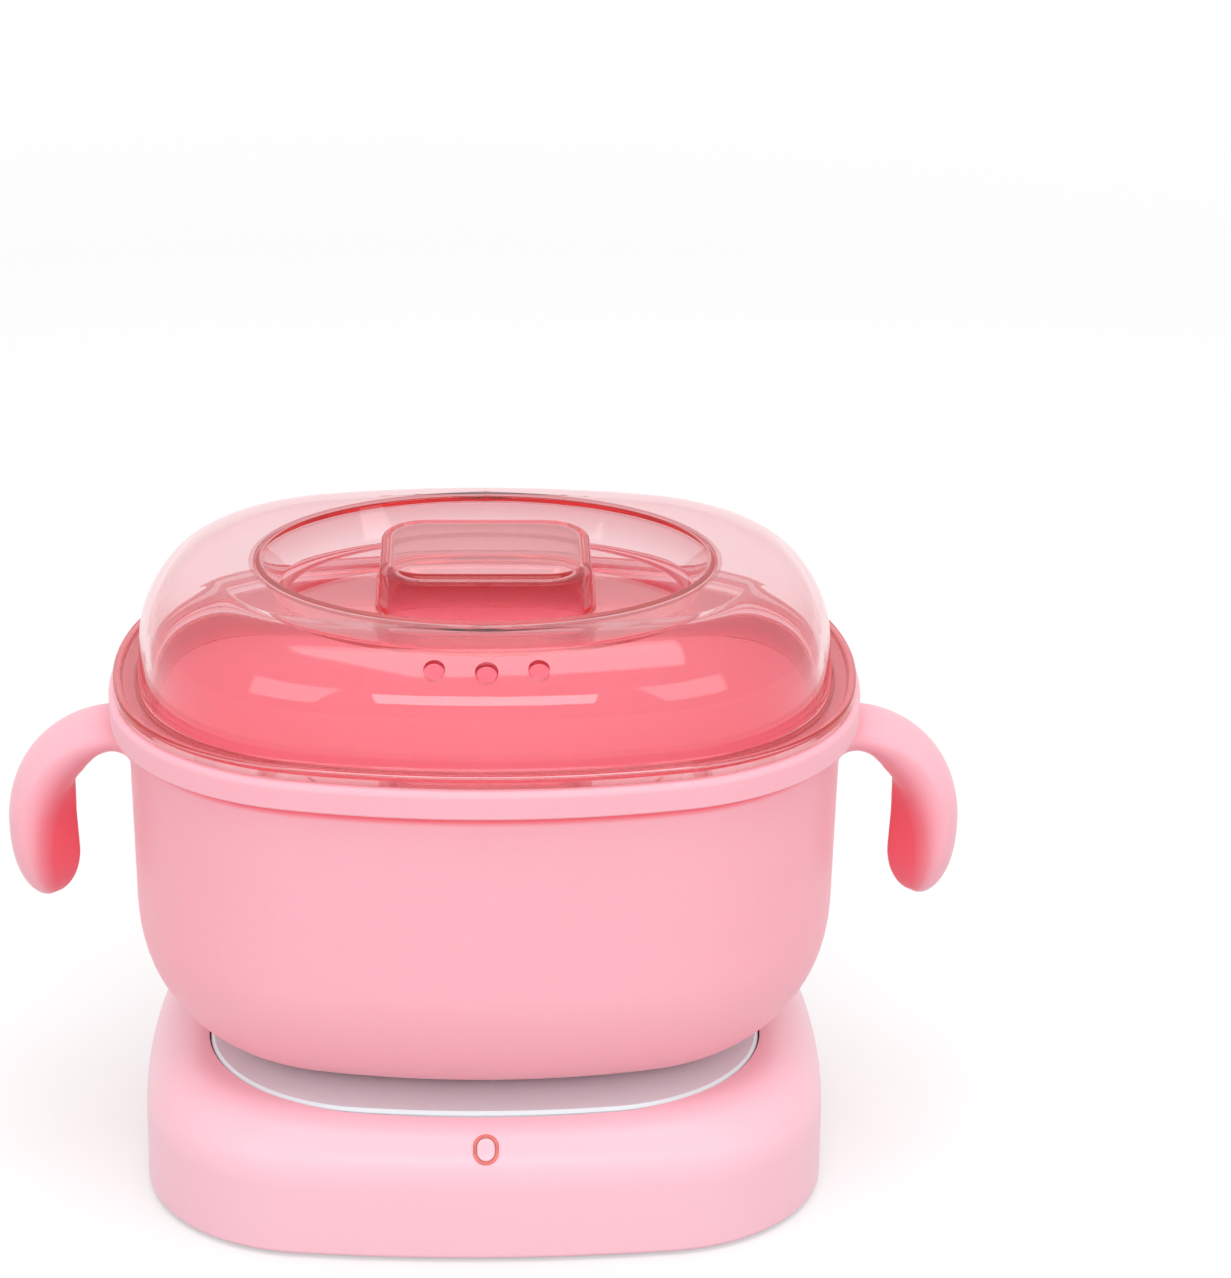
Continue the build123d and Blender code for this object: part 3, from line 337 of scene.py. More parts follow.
# -------------------- finishes
@dataclass(frozen=True)
class Finish:
    """A procedural finish: a colour with clouds in it, a roughness range and a fine surface relief.

    Attributes:
        name: The material's name.
        colour: The main colour in linear light.
        shade: The colour in the clouds' darker parts.
        rough_low: Roughness where the surface is smoothest.
        rough_high: Roughness where the surface is dullest.
        metallic: 1 for metal.
        cloud_scale: Clouds in a metre.
        cloud_contrast: How hard the clouds' edges are.
        grain_scale: Grains in a metre.
        grain_height: Height of the relief in millimetres.
        brushed: Whether the relief runs in lines.
        coat: Weight of a clear gloss over the surface.
        coat_rough: Roughness of the gloss.
        sheen: Weight of a soft sheen at grazing angles.
        specular: The specular level.
        subsurface: Weight of light scattered under the surface.
        scatter_mm: How far that light travels.
        scatter_share: Red's, green's and blue's share of that way.
    """

    name: str
    colour: Colour
    shade: Colour
    rough_low: float = 0.3
    rough_high: float = 0.45
    metallic: float = 0.0
    cloud_scale: float = 40.0
    cloud_contrast: float = 1.6
    grain_scale: float = 1400.0
    grain_height: float = 0.01
    brushed: bool = False
    coat: float = 0.0
    coat_rough: float = 0.1
    sheen: float = 0.0
    specular: float = 0.5
    subsurface: float = 0.0
    scatter_mm: float = 2.0
    scatter_share: Colour = (1.0, 0.45, 0.4)

    def group(self, wiring: Wiring, effect: Effect, **values: float) -> bpy.types.Node:
        """Places a shared effect in a material.

        Args:
            wiring: The material's wiring.
            effect: The effect.
            values: Input values, with underscores for spaces.

        Returns:
            The group node.
        """
        made = wiring.node("ShaderNodeGroup", node_tree=EFFECTS.get(effect))
        for name, value in values.items():
            made.inputs[name.replace("_", " ")].default_value = value
        return made

    def shade_paint(self, wiring: Wiring, base: bpy.types.NodeSocket) -> bpy.types.NodeSocket:
        """Paints shade into the base colour over the piece. A plain finish leaves it."""
        return base

    def dress(self, wiring: Wiring, shader: bpy.types.Node) -> None:
        """Sets the shader's plain numbers.

        Args:
            wiring: The material's wiring; not used.
            shader: The Principled BSDF.
        """
        plain = {
            "Metallic": self.metallic,
            "Coat Weight": self.coat,
            "Coat Roughness": self.coat_rough,
            "Sheen Weight": self.sheen,
            "Specular IOR Level": self.specular,
            "Subsurface Weight": self.subsurface,
            "Subsurface Scale": self.scatter_mm * MM,
        }
        for name, value in plain.items():
            shader.inputs[name].default_value = value
        shader.inputs["Subsurface Radius"].default_value = self.scatter_share

    def material(self) -> bpy.types.Material:
        """Gives the material, and builds it at its first use."""
        return bpy.data.materials.get(self.name) or self.make()

    def make(self) -> bpy.types.Material:
        """Builds the material.

        Returns:
            The material.
        """
        made = bpy.data.materials.new(self.name)
        made.use_nodes = True
        made.diffuse_color = rgba(self.colour)
        wiring = Wiring(made.node_tree)
        shader = made.node_tree.nodes["Principled BSDF"]
        self.dress(wiring, shader)
        clouds = self.group(wiring, Effect.MOTTLE, Scale=self.cloud_scale, Contrast=self.cloud_contrast)
        mask = clouds.outputs["Mask"]
        base = wiring.blend_colours(mask, rgba(self.shade), rgba(self.colour))
        # Painted shade, where a finish has it, goes into the base colour here.
        wiring.feed(self.shade_paint(wiring, base), shader.inputs["Base Color"])
        if self.brushed:
            relief = self.group(wiring, Effect.BRUSH, Scale=self.grain_scale)
            mask = relief.outputs["Mask"]
        else:
            relief = self.group(wiring, Effect.GRAIN, Scale=self.grain_scale)
        rough = wiring.ramp(mask, *MASK_SPAN, self.rough_low, self.rough_high)
        wiring.feed(rough, shader.inputs["Roughness"])
        bump = wiring.node("ShaderNodeBump")
        bump.inputs["Strength"].default_value = 1.0
        bump.inputs["Distance"].default_value = self.grain_height * MM
        wiring.feed(relief.outputs["Height"], bump.inputs["Height"])
        wiring.feed(bump.outputs[0], shader.inputs["Normal"])
        return made


@dataclass(frozen=True)
class SiliconeFinish(Finish):
    """Soft silicone, with painted shade in the bowl, in the crease under the rim band, round the flanks and
    behind the handles.

    Attributes:
        painted_shade: The colour of the painted shade, reached where a piece's depth attribute is 1.
    """

    painted_shade: Colour = (0.9, 0.2, 0.25)

    def shade_paint(self, wiring: Wiring, base: bpy.types.NodeSocket) -> bpy.types.NodeSocket:
        """Mixes the painted shade's colour in by the piece's depth attribute."""
        # The depth attribute is the mask of the painted shade.
        depth = wiring.node("ShaderNodeAttribute", attribute_name="depth")
        return wiring.blend_colours(depth.outputs["Fac"], base, rgba(self.painted_shade))


@dataclass(frozen=True)
class ClearFinish(Finish):
    """Clear tinted plastic, with painted shade along its lips, edges and vent holes, and a painted glow where
    a ray bounces past the set count.

    Attributes:
        ior: The index of refraction.
        absorb: The colour that is let through over long ways.
        density: How strongly the rest is taken up, per metre.
        passes: How often light bounces before it counts as caught in the wall, where the painted glow takes
            its place.
        painted_glow: The colour of the painted glow that takes the place of that light.
        shadow: What a shadow ray keeps at each surface.
        edge: The colour of the painted edge shade along lips and cut edges.
    """

    ior: float = 1.49
    absorb: Colour = (0.985, 0.1, 0.2)
    density: float = 55.0
    passes: int = 14
    painted_glow: Colour = (0.62, 0.05, 0.075)
    shadow: Colour = (0.95, 0.86, 0.88)
    edge: Colour = (0.56, 0.014, 0.035)

    def shade_paint(self, wiring: Wiring, base: bpy.types.NodeSocket) -> bpy.types.NodeSocket:
        """Mixes the painted edge shade in by the piece's depth attribute."""
        # Here the depth attribute is the mask of the painted edge shade.
        depth = wiring.node("ShaderNodeAttribute", attribute_name="depth")
        return wiring.blend_colours(depth.outputs["Fac"], base, rgba(self.edge))

    def make(self) -> bpy.types.Material:
        """Builds the material with its clear wall.

        Returns:
            The material.
        """
        made = super().make()
        wiring = Wiring(made.node_tree)
        shader = made.node_tree.nodes["Principled BSDF"]
        shader.inputs["Transmission Weight"].default_value = 1.0
        shader.inputs["IOR"].default_value = self.ior
        volume = wiring.node("ShaderNodeVolumeAbsorption")
        volume.inputs["Color"].default_value = rgba(self.absorb)
        volume.inputs["Density"].default_value = self.density
        result = made.node_tree.nodes["Material Output"]
        wiring.feed(volume.outputs[0], result.inputs["Volume"])
        path = wiring.node("ShaderNodeLightPath")
        # Painted glow: an emission that ends a ray after that many bounces, in place of the light it would
        # carry.
        painted_glow = wiring.node("ShaderNodeEmission")
        painted_glow.inputs["Color"].default_value = rgba(self.painted_glow)
        long_way = wiring.maths("GREATER_THAN", path.outputs["Ray Depth"], self.passes - 0.5)
        inner = self.either(wiring, long_way, shader.outputs[0], painted_glow.outputs[0])
        clear = wiring.node("ShaderNodeBsdfTransparent")
        clear.inputs["Color"].default_value = rgba(self.shadow)
        shown = self.either(wiring, path.outputs["Is Shadow Ray"], inner, clear.outputs[0])
        wiring.feed(shown, result.inputs["Surface"])
        return made

    @staticmethod
    def either(wiring: Wiring, choice: object, first: object, second: object) -> bpy.types.NodeSocket:
        """Mixes two shaders.

        Args:
            wiring: The material's wiring.
            choice: 0 for the first, 1 for the second.
            first: The first shader's socket.
            second: The second shader's socket.

        Returns:
            The mixed shader's socket.
        """
        mix = wiring.node("ShaderNodeMixShader")
        for socket, source in zip(mix.inputs, (choice, first, second)):
            wiring.feed(source, socket)
        return mix.outputs[0]


# The last colour of the silicone is its painted shade, mixed in by each piece's depth attribute.
SILICONE = SiliconeFinish(
    "pink_silicone", from_srgb(253, 184, 197), from_srgb(252, 179, 193), 0.38, 0.5,
    cloud_scale=16.0, cloud_contrast=1.2, grain_scale=1800.0, grain_height=0.01, sheen=0.1, specular=0.45,
    subsurface=0.35, scatter_mm=4.0, painted_shade=from_srgb(255, 90, 108),
)
HOUSING = Finish(
    "pink_gloss_plastic", from_srgb(252, 198, 211), from_srgb(251, 195, 208), 0.3, 0.4,
    cloud_scale=7.0, cloud_contrast=1.0, grain_scale=1100.0, grain_height=0.004, coat=0.16, coat_rough=0.25,
)
CLEAR = ClearFinish(
    "clear_pink_plastic", (0.958, 0.89, 0.899), (0.955, 0.883, 0.893), 0.0, 0.02,
    grain_scale=260.0, grain_height=0.002,
)
PLATE = Finish(
    "satin_aluminium", (0.8, 0.9, 0.93), (0.78, 0.88, 0.91), 0.42, 0.52, metallic=0.2, specular=0.35,
    cloud_scale=30.0, grain_scale=1600.0, grain_height=0.003, brushed=True,
)
GASKET = Finish("dark_gasket", (0.03, 0.03, 0.032), (0.02, 0.02, 0.022), 0.55, 0.7, grain_height=0.02)
FOOT_RUBBER = Finish("grey_foot_rubber", (0.19, 0.19, 0.2), (0.14, 0.14, 0.15), 0.6, 0.8, grain_height=0.03)
BEZEL = Finish(
    "rose_copper", from_srgb(214, 118, 110), from_srgb(202, 106, 99), 0.24, 0.36, metallic=0.5,
    grain_scale=900.0, grain_height=0.004,
)
CAP = Finish(
    "soft_pink_cap", from_srgb(252, 200, 213), from_srgb(250, 196, 209), 0.32, 0.42,
    grain_height=0.006, coat=0.2,
)
STEEL = Finish(
    "bright_steel", (0.58, 0.57, 0.55), (0.46, 0.45, 0.44), 0.25, 0.4, metallic=1.0,
    grain_scale=1200.0, grain_height=0.006, brushed=True,
)
PINS = Finish("nickel_pins", (0.66, 0.62, 0.54), (0.56, 0.52, 0.45), 0.2, 0.32, metallic=1.0)
MICA = Finish(
    "brown_mica", (0.42, 0.3, 0.18), (0.3, 0.2, 0.11), 0.35, 0.6, cloud_scale=90.0, cloud_contrast=3.0,
)
FIBRE = Finish(
    "white_fibre", (0.74, 0.72, 0.68), (0.6, 0.58, 0.54), 0.8, 0.95, cloud_scale=120.0, grain_height=0.08,
)
BOARD = Finish("green_board", (0.03, 0.2, 0.09), (0.02, 0.15, 0.07), 0.3, 0.45, cloud_scale=150.0)
BLACK = Finish("black_plastic", (0.022, 0.022, 0.024), (0.016, 0.016, 0.018), 0.35, 0.5, grain_height=0.015)
WINDING = Finish(
    "copper_winding", (0.62, 0.27, 0.1), (0.45, 0.17, 0.06), 0.3, 0.5, metallic=0.8, brushed=True,
)
TERMINAL = Finish("green_terminal", (0.06, 0.28, 0.13), (0.04, 0.22, 0.1), 0.4, 0.55)
SLEEVE = Finish("white_lead", (0.68, 0.67, 0.64), (0.58, 0.57, 0.54), 0.5, 0.65)
SIGNAL = Finish("red_lead", (0.5, 0.05, 0.04), (0.4, 0.035, 0.03), 0.4, 0.55)


@dataclass
class CarriedParts:
    """The CAD solids that stay as they are and only get their finish.

    Attributes:
        finishes: The finish of each material slot.
    """

    finishes: dict[str, Finish] = field(
        default_factory=lambda: {
            "housing": HOUSING, "silicone": SILICONE, "clear_lid": CLEAR, "plate": PLATE,
            "gasket": GASKET, "foot_rubber": FOOT_RUBBER, "bezel": BEZEL, "cap": CAP,
            "steel": STEEL, "pins": PINS, "mica": MICA, "fibre": FIBRE, "board": BOARD,
            "black_plastic": BLACK, "winding": WINDING, "terminal": TERMINAL,
            "lead_sleeve": SLEEVE, "signal_lead": SIGNAL,
        }
    )

    def dress(self) -> None:
        """Gives every CAD node the material of its slot."""
        slots = {part["node"]: part.get("material_slot") for part in frame["record"]["subparts"]}
        for name, node in frame["nodes"].items():
            finish = self.finishes[slots[name]]
            node.data.materials.clear()
            node.data.materials.append(finish.material())
            LOG.info("%s wears %s", name, finish.name)


# -------------------- plan curves
@dataclass(frozen=True)
class SoftRectangle:
    """A plan outline of eight tangent arcs, followed by the direction of its outward normal.

    Attributes:
        half_w: Half of the width along X.
        half_d: Half of the depth along Y.
        front_r: Radius of the long front and back sides.
        side_r: Radius of the short sides.
        corner_r: Radius of the four corners.
    """

    half_w: float
    half_d: float
    front_r: float
    side_r: float
    corner_r: float

    def corner(self) -> tuple[float, float, float, float]:
        """Finds the corner arc that touches the front and the side arc.

        Returns:
            The corner's centre x and y, and the normal angles where it starts and ends.
        """
        front_c, side_c = self.half_d - self.front_r, self.half_w - self.side_r
        reach = math.hypot(front_c, side_c)
        near, far = self.front_r - self.corner_r, self.side_r - self.corner_r
        along = (reach**2 + near**2 - far**2) / (2 * reach)
        across = math.sqrt(near**2 - along**2)
        x = (side_c * along - front_c * across) / reach
        y = front_c - (front_c * along + side_c * across) / reach
        return x, y, math.atan2(y, x - side_c), math.atan2(y - front_c, x)

    def turns(self, side: int, corner: int, front: int) -> np.ndarray:
        """Spreads normal angles round the outline, evenly along each arc.

        Args:
            side: Steps on half of a short side.
            corner: Steps on a corner.
            front: Steps on half of a long side.

        Returns:
            The angles in radians, from 0 to just under a full turn.
        """
        _, _, start, end = self.corner()
        quarter = np.concatenate([
            np.linspace(0, start, side, endpoint=False),
            np.linspace(start, end, corner, endpoint=False),
            np.linspace(end, math.pi / 2, front, endpoint=False),
        ])
        half = np.concatenate([quarter, math.pi - np.append(quarter, math.pi / 2)[:0:-1]])
        return np.concatenate([half, half + math.pi])

    def outline(self, turns: np.ndarray, inset: float | np.ndarray = 0.0) -> np.ndarray:
        """Gives the outline's points at these normal angles, drawn in by an inset.

        Args:
            turns: Normal angles in radians.
            inset: Distance inwards, one for all points or one for each.

        Returns:
            An array of x and y for each angle.
        """
        x, y, start, end = self.corner()
        cos, sin = np.cos(turns), np.sin(turns)
        folded = np.arctan2(np.abs(sin), np.abs(cos))
        on_side, on_front = folded <= start, folded >= end
        centre_x = np.where(on_side, self.half_w - self.side_r, np.where(on_front, 0.0, x))
        centre_y = np.where(on_side, 0.0, np.where(on_front, self.half_d - self.front_r, y))
        radius = np.where(on_side, self.side_r, np.where(on_front, self.front_r, self.corner_r))
        reach = radius - inset
        return np.column_stack([
            np.sign(cos) * centre_x + reach * cos,
            np.sign(sin) * centre_y + reach * sin,
        ])


@dataclass(frozen=True)
class Oval:
    """An ellipse followed by the direction of its outward normal.

    Attributes:
        half_w: Half of the width along X.
        half_d: Half of the depth along Y.
    """

    half_w: float
    half_d: float

    def outline(self, turns: np.ndarray, inset: float = 0.0) -> np.ndarray:
        """Gives the outline's points at these normal angles, with both halves cut by an inset.

        Args:
            turns: Normal angles in radians.
            inset: What each half loses.

        Returns:
            An array of x and y for each angle.
        """
        a, b = self.half_w - inset, self.half_d - inset
        scale = np.sqrt((a * np.cos(turns)) ** 2 + (b * np.sin(turns)) ** 2)
        return np.column_stack([a * a * np.cos(turns) / scale, b * b * np.sin(turns) / scale])


def rounded(corners: Sequence[Corner], step: float = 7.5) -> list[tuple[float, float]]:
    """Rounds the corners of a profile.

    Args:
        corners: Inset, height and fillet radius of each corner. Both ends have radius 0.
        step: The largest turn between neighbouring points of a fillet, in degrees.

    Returns:
        The profile's points as inset and height.
    """
    path: list[tuple[float, float]] = []
    for index, (d, z, radius) in enumerate(corners):
        if radius <= 0:
            path.append((d, z))
            continue
        here = np.array([d, z])
        before = np.array(corners[index - 1][:2]) - here
        after = np.array(corners[index + 1][:2]) - here
        before, after = before / np.linalg.norm(before), after / np.linalg.norm(after)
        opening = math.acos(float(np.clip(before @ after, -1, 1)))
        middle = (before + after) / np.linalg.norm(before + after)
        centre = here + middle * radius / math.sin(opening / 2)
        start = here + before * radius / math.tan(opening / 2) - centre
        sweep = math.pi - opening
        if before[0] * after[1] - before[1] * after[0] > 0:
            sweep = -sweep
        steps = max(2, math.ceil(math.degrees(abs(sweep)) / step))
        for part in range(steps + 1):
            turn = sweep * part / steps
            cos, sin = math.cos(turn), math.sin(turn)
            spot = centre + np.array([start[0] * cos - start[1] * sin, start[0] * sin + start[1] * cos])
            path.append((float(spot[0]), float(spot[1])))
    return path


# -------------------- mesh building
class Shell:
    """Gathers rings of equally many points, and the faces between them, into one mesh."""

    def __init__(self, count: int) -> None:
        """Starts an empty shell.

        Args:
            count: Points on each ring.
        """
        self.count = count
        self.points: list[np.ndarray] = []
        self.painted_shade_values: list[np.ndarray] = []
        self.faces: list[tuple[int, ...]] = []
        self.total = 0

    def ring(self, points: np.ndarray, depth: float | np.ndarray = 0.0) -> int:
        """Adds a ring.

        Args:
            points: The points' x, y and z in millimetres.
            depth: How much painted shade the piece has there, from 0 to 1.

        Returns:
            The index of the ring's first point.
        """
        start = self.total
        self.points.append(points)
        self.painted_shade_values.append(np.broadcast_to(depth, (len(points),)))
        self.total += len(points)
        return start

    def level(
        self, curve: SoftRectangle | Oval, turns: np.ndarray, inset: float, z: float,
        depth: float | np.ndarray = 0.0,
    ) -> int:
        """Adds a level ring on a plan curve.

        Args:
            curve: The plan curve.
            turns: Normal angles in radians.
            inset: Distance inwards from the curve.
            z: Height in millimetres.
            depth: How much painted shade the piece has there.

        Returns:
            The index of the ring's first point.
        """
        flat = curve.outline(turns, inset)
        return self.ring(np.column_stack([flat, np.full(len(flat), z)]), depth)

    def bridge(self, rings: Sequence[int]) -> None:
        """Joins rings one after the other.

        Args:
            rings: First indices of the rings.
        """
        for low, high in zip(rings, rings[1:]):
            for step in range(self.count):
                beside = (step + 1) % self.count
                self.faces.append((low + step, low + beside, high + beside, high + step))

    def pole(self, ring: int, centre: Sequence[float], first: bool, depth: float = 0.0) -> None:
        """Closes a ring with one point.

        Args:
            ring: The ring's first index.
            centre: The point in millimetres.
            first: Whether the ring comes after the pole along the profile.
            depth: How much painted shade the point has.
        """
        tip = self.ring(np.array([centre], float), depth)
        for step in range(self.count):
            beside = (step + 1) % self.count
            here, there = ring + step, ring + beside
            self.faces.append((tip, there, here) if first else (here, there, tip))

    def mesh(self, name: str, mirrored: bool = False) -> bpy.types.Mesh:
        """Makes the mesh, with normals that lean to the larger faces.

        Args:
            name: The mesh's name.
            mirrored: Whether the shell is mirrored across the middle plane x = 0.

        Returns:
            The mesh in metres.
        """
        points = np.concatenate(self.points) * MM
        faces = self.faces
        if mirrored:
            points = points * np.array([-1.0, 1.0, 1.0])
            faces = [face[::-1] for face in faces]
        mesh = bpy.data.meshes.new(name)
        mesh.from_pydata(points.tolist(), [], faces)
        # The depth attribute carries the painted shade that the finishes mix into the colour.
        depth = mesh.attributes.new("depth", "FLOAT", "POINT")
        depth.data.foreach_set("value", np.concatenate(self.painted_shade_values).astype(np.float32))
        mesh.shade_smooth()
        lean_normals(mesh)
        return mesh


def lean_normals(mesh: bpy.types.Mesh) -> None:
    """Sets vertex normals weighted by face area, so that flats stay flat beside their fillets.

    Args:
        mesh: The mesh.
    """
    normals = np.zeros((len(mesh.vertices), 3))
    for face in mesh.polygons:
        weighted = np.array(face.normal) * face.area
        for index in face.vertices:
            normals[index] += weighted
    lengths = np.linalg.norm(normals, axis=1, keepdims=True)
    normals /= np.maximum(lengths, np.finfo(float).tiny)
    mesh.normals_split_custom_set_from_vertices(normals.tolist())


def place(mesh: bpy.types.Mesh, finish: Finish, slot: str, body: Body, node: str) -> None:
    """Puts a finished mesh into the scene and lets it ride.

    Args:
        mesh: The mesh, in place.
        finish: Its finish.
        slot: The record's slot for that finish; not used.
        body: The body that it rides on.
        node: The CAD node that it stands for.
    """
    mesh.materials.clear()
    mesh.materials.append(finish.material())
    piece = bpy.data.objects.new(mesh.name, mesh)
    bpy.context.collection.objects.link(piece)
    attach(piece, body.value)
    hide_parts(node)
    LOG.info("%s: %d faces on %s in %s", piece.name, len(mesh.polygons), body.value, finish.name)


class Recipe:
    """A Geometry Nodes tree with named inputs, whose result becomes a plain mesh."""

    def __init__(self, name: str, inputs: dict[str, tuple[str, object]]) -> None:
        """Starts the tree with its sockets.

        Args:
            name: The tree's name.
            inputs: Each input's socket kind and usual value.
        """
        self.tree = bpy.data.node_groups.new(name, "GeometryNodeTree")
        self.wiring = Wiring(self.tree)
        sockets = {"Geometry": ("Geometry", None), **inputs, "Material": ("Material", None)}
        for label, (kind, usual) in sockets.items():
            socket = self.tree.interface.new_socket(label, in_out="INPUT", socket_type=f"NodeSocket{kind}")
            if usual is not None:
                socket.default_value = usual
        self.tree.interface.new_socket("Geometry", in_out="OUTPUT", socket_type="NodeSocketGeometry")
        self.source = self.wiring.node("NodeGroupInput").outputs
        self.result = self.wiring.node("NodeGroupOutput")

    def step(self, kind: str, values: dict[str, object], **settings: object) -> bpy.types.NodeSocket:
        """Adds a node, feeds its named inputs and returns its first output.

        Args:
            kind: The node's bl_idname.
            values: Sources or plain values for its inputs.
            settings: The node's properties.

        Returns:
            The node's first output.
        """
        made = self.wiring.node(kind, **settings)
        for label, value in values.items():
            self.wiring.feed(value, made.inputs[label])
        return made.outputs[0]

    def turned(self, euler: bpy.types.NodeSocket) -> bpy.types.NodeSocket:
        """Makes a rotation from three angles."""
        return self.step("FunctionNodeEulerToRotation", {"Euler": euler})

    def close(self, geometry: bpy.types.NodeSocket) -> None:
        """Ends the tree in real geometry with its material.

        Args:
            geometry: What the tree has built.
        """
        real = self.step("GeometryNodeRealizeInstances", {"Geometry": geometry})
        material = self.source["Material"]
        dressed = self.step("GeometryNodeSetMaterial", {"Geometry": real, "Material": material})
        self.wiring.feed(dressed, self.result.inputs[0])

    def cook(
        self, name: str, start: bpy.types.Mesh, finish: Finish, values: dict[str, object]
    ) -> bpy.types.Mesh:
        """Runs the tree on a mesh.

        Args:
            name: Name of the result.
            start: The points or the path in metres.
            finish: The finish that the result gets.
            values: The inputs' values by their names.

        Returns:
            The plain mesh, faces outwards and sharp at its hard edges.
        """
        carrier = bpy.data.objects.new(name, start)
        bpy.context.collection.objects.link(carrier)
        run = carrier.modifiers.new("recipe", "NODES")
        run.node_group = self.tree
        sockets = self.tree.interface.items_tree
        keys = {item.name: item.identifier for item in sockets if item.in_out == "INPUT"}
        for label, value in {**values, "Material": finish.material()}.items():
            run[keys[label]] = value
        graph = bpy.context.evaluated_depsgraph_get()
        mesh = bpy.data.meshes.new_from_object(carrier.evaluated_get(graph))
        carrier.modifiers.remove(run)
        bpy.data.objects.remove(carrier)
        solid = bmesh.new()
        solid.from_mesh(mesh)
        bmesh.ops.recalc_face_normals(solid, faces=solid.faces)
        solid.to_mesh(mesh)
        solid.free()
        mesh.shade_smooth()
        mesh.set_sharp_from_angle(angle=HARD_EDGE)
        mesh.name = name
        LOG.info("%s cooked: %d faces", name, len(mesh.polygons))
        return mesh


class RepeatRecipe(Recipe):
    """Puts one piece on every point, each turned about its axis by a seeded amount."""

    def __init__(self) -> None:
        """Builds the tree."""
        super().__init__("repeat_on_points", {
            "Piece": ("Object", None), "Largest turn": ("Float", 0.0), "Seed": ("Int", 7),
            "Flip": ("Float", 0.0),
        })
        piece = self.wiring.node("GeometryNodeObjectInfo")
        self.wiring.feed(self.source["Piece"], piece.inputs["Object"])
        flip, largest = self.source["Flip"], self.source["Largest turn"]
        widest = self.step("ShaderNodeCombineXYZ", {"X": flip, "Z": largest})
        least = self.step("ShaderNodeCombineXYZ", {"X": flip})
        chance = self.wiring.node("FunctionNodeRandomValue", data_type="FLOAT_VECTOR")
        self.wiring.feed(least, chance.inputs[0])
        self.wiring.feed(widest, chance.inputs[1])
        self.wiring.feed(self.source["Seed"], chance.inputs["Seed"])
        self.close(self.step("GeometryNodeInstanceOnPoints", {
            "Points": self.source["Geometry"], "Instance": piece.outputs["Geometry"],
            "Rotation": self.turned(chance.outputs[0]),
        }))

    def repeat(
        self, name: str, piece: bpy.types.Mesh, spots: Sequence[Corner], finish: Finish,
        seed: int = 7, flipped: bool = False, largest_turn: float = math.pi / 2,
    ) -> bpy.types.Mesh:
        """Repeats a piece.

        Args:
            name: Name of the result.
            piece: The piece's mesh.
            spots: Where it goes, in millimetres.
            finish: Its finish.
            seed: Seed of the turns.
            flipped: Whether the piece hangs upside down.
            largest_turn: The widest turn in radians.

        Returns:
            One mesh with all the pieces.
        """
        points = bpy.data.meshes.new("spots")
        points.from_pydata([tuple(MM * value for value in spot) for spot in spots], [], [])
        sample = bpy.data.objects.new("sample", piece)
        bpy.context.collection.objects.link(sample)
        made = self.cook(name, points, finish, {
            "Piece": sample, "Largest turn": largest_turn, "Seed": seed, "Flip": math.pi if flipped else 0.0,
        })
        bpy.data.objects.remove(sample)
        return made


class BandRecipe(Recipe):
    """Sweeps a rectangle with rounded corners along a closed path."""

    def __init__(self) -> None:
        """Builds the tree."""
        super().__init__("band_along_path", {
            "Width": ("Float", 0.001), "Height": ("Float", 0.001), "Corner": ("Float", 0.0002),
            "Lean": ("Float", 0.0), "Place": ("Vector", None),
        })
        path = self.step("GeometryNodeMeshToCurve", {"Mesh": self.source["Geometry"]})
        upright = self.step("GeometryNodeSetCurveNormal", {"Curve": path}, mode="Z_UP")
        section = self.step("GeometryNodeCurvePrimitiveQuadrilateral", {
            "Width": self.source["Width"], "Height": self.source["Height"],
        })
        softened = self.step("GeometryNodeFilletCurve", {
            "Curve": section, "Count": 4, "Radius": self.source["Corner"],
        }, mode="POLY")
        band = self.step("GeometryNodeCurveToMesh", {"Curve": upright, "Profile Curve": softened})
        lean = self.step("ShaderNodeCombineXYZ", {"X": self.source["Lean"]})
        self.close(self.step("GeometryNodeTransform", {
            "Geometry": band, "Translation": self.source["Place"], "Rotation": self.turned(lean),
        }))

    def sweep(
        self, name: str, path: np.ndarray, finish: Finish, width: float, height: float, corner: float,
        lean: float = 0.0, spot: Corner = (0.0, 0.0, 0.0),
    ) -> bpy.types.Mesh:
        """Sweeps a band.

        Args:
            name: Name of the result.
            path: The closed path's points in millimetres.
            finish: Its finish.
            width: The section's width across the path.
            height: Its height.
            corner: Radius of its corners.
            lean: How far the whole band leans about X, in radians.
            spot: Where it is moved to after that, in millimetres.

        Returns:
            The band's mesh.
        """
        loop = bpy.data.meshes.new("path")
        count = len(path)
        loop.from_pydata((path * MM).tolist(), [(step, (step + 1) % count) for step in range(count)], [])
        return self.cook(name, loop, finish, {
            "Width": width * MM, "Height": height * MM, "Corner": corner * MM, "Lean": lean,
            "Place": tuple(MM * value for value in spot),
        })


RIM_PLAN = SoftRectangle(100.0, 80.5, 205.0, 122.0, 63.5)
RIM_TURNS = RIM_PLAN.turns(12, 40, 22)
PLATE_PLAN = SoftRectangle(74.9, 62.8, 250.0, 265.0, 47.0)
PLATE_TURNS = PLATE_PLAN.turns(24, 48, 40)


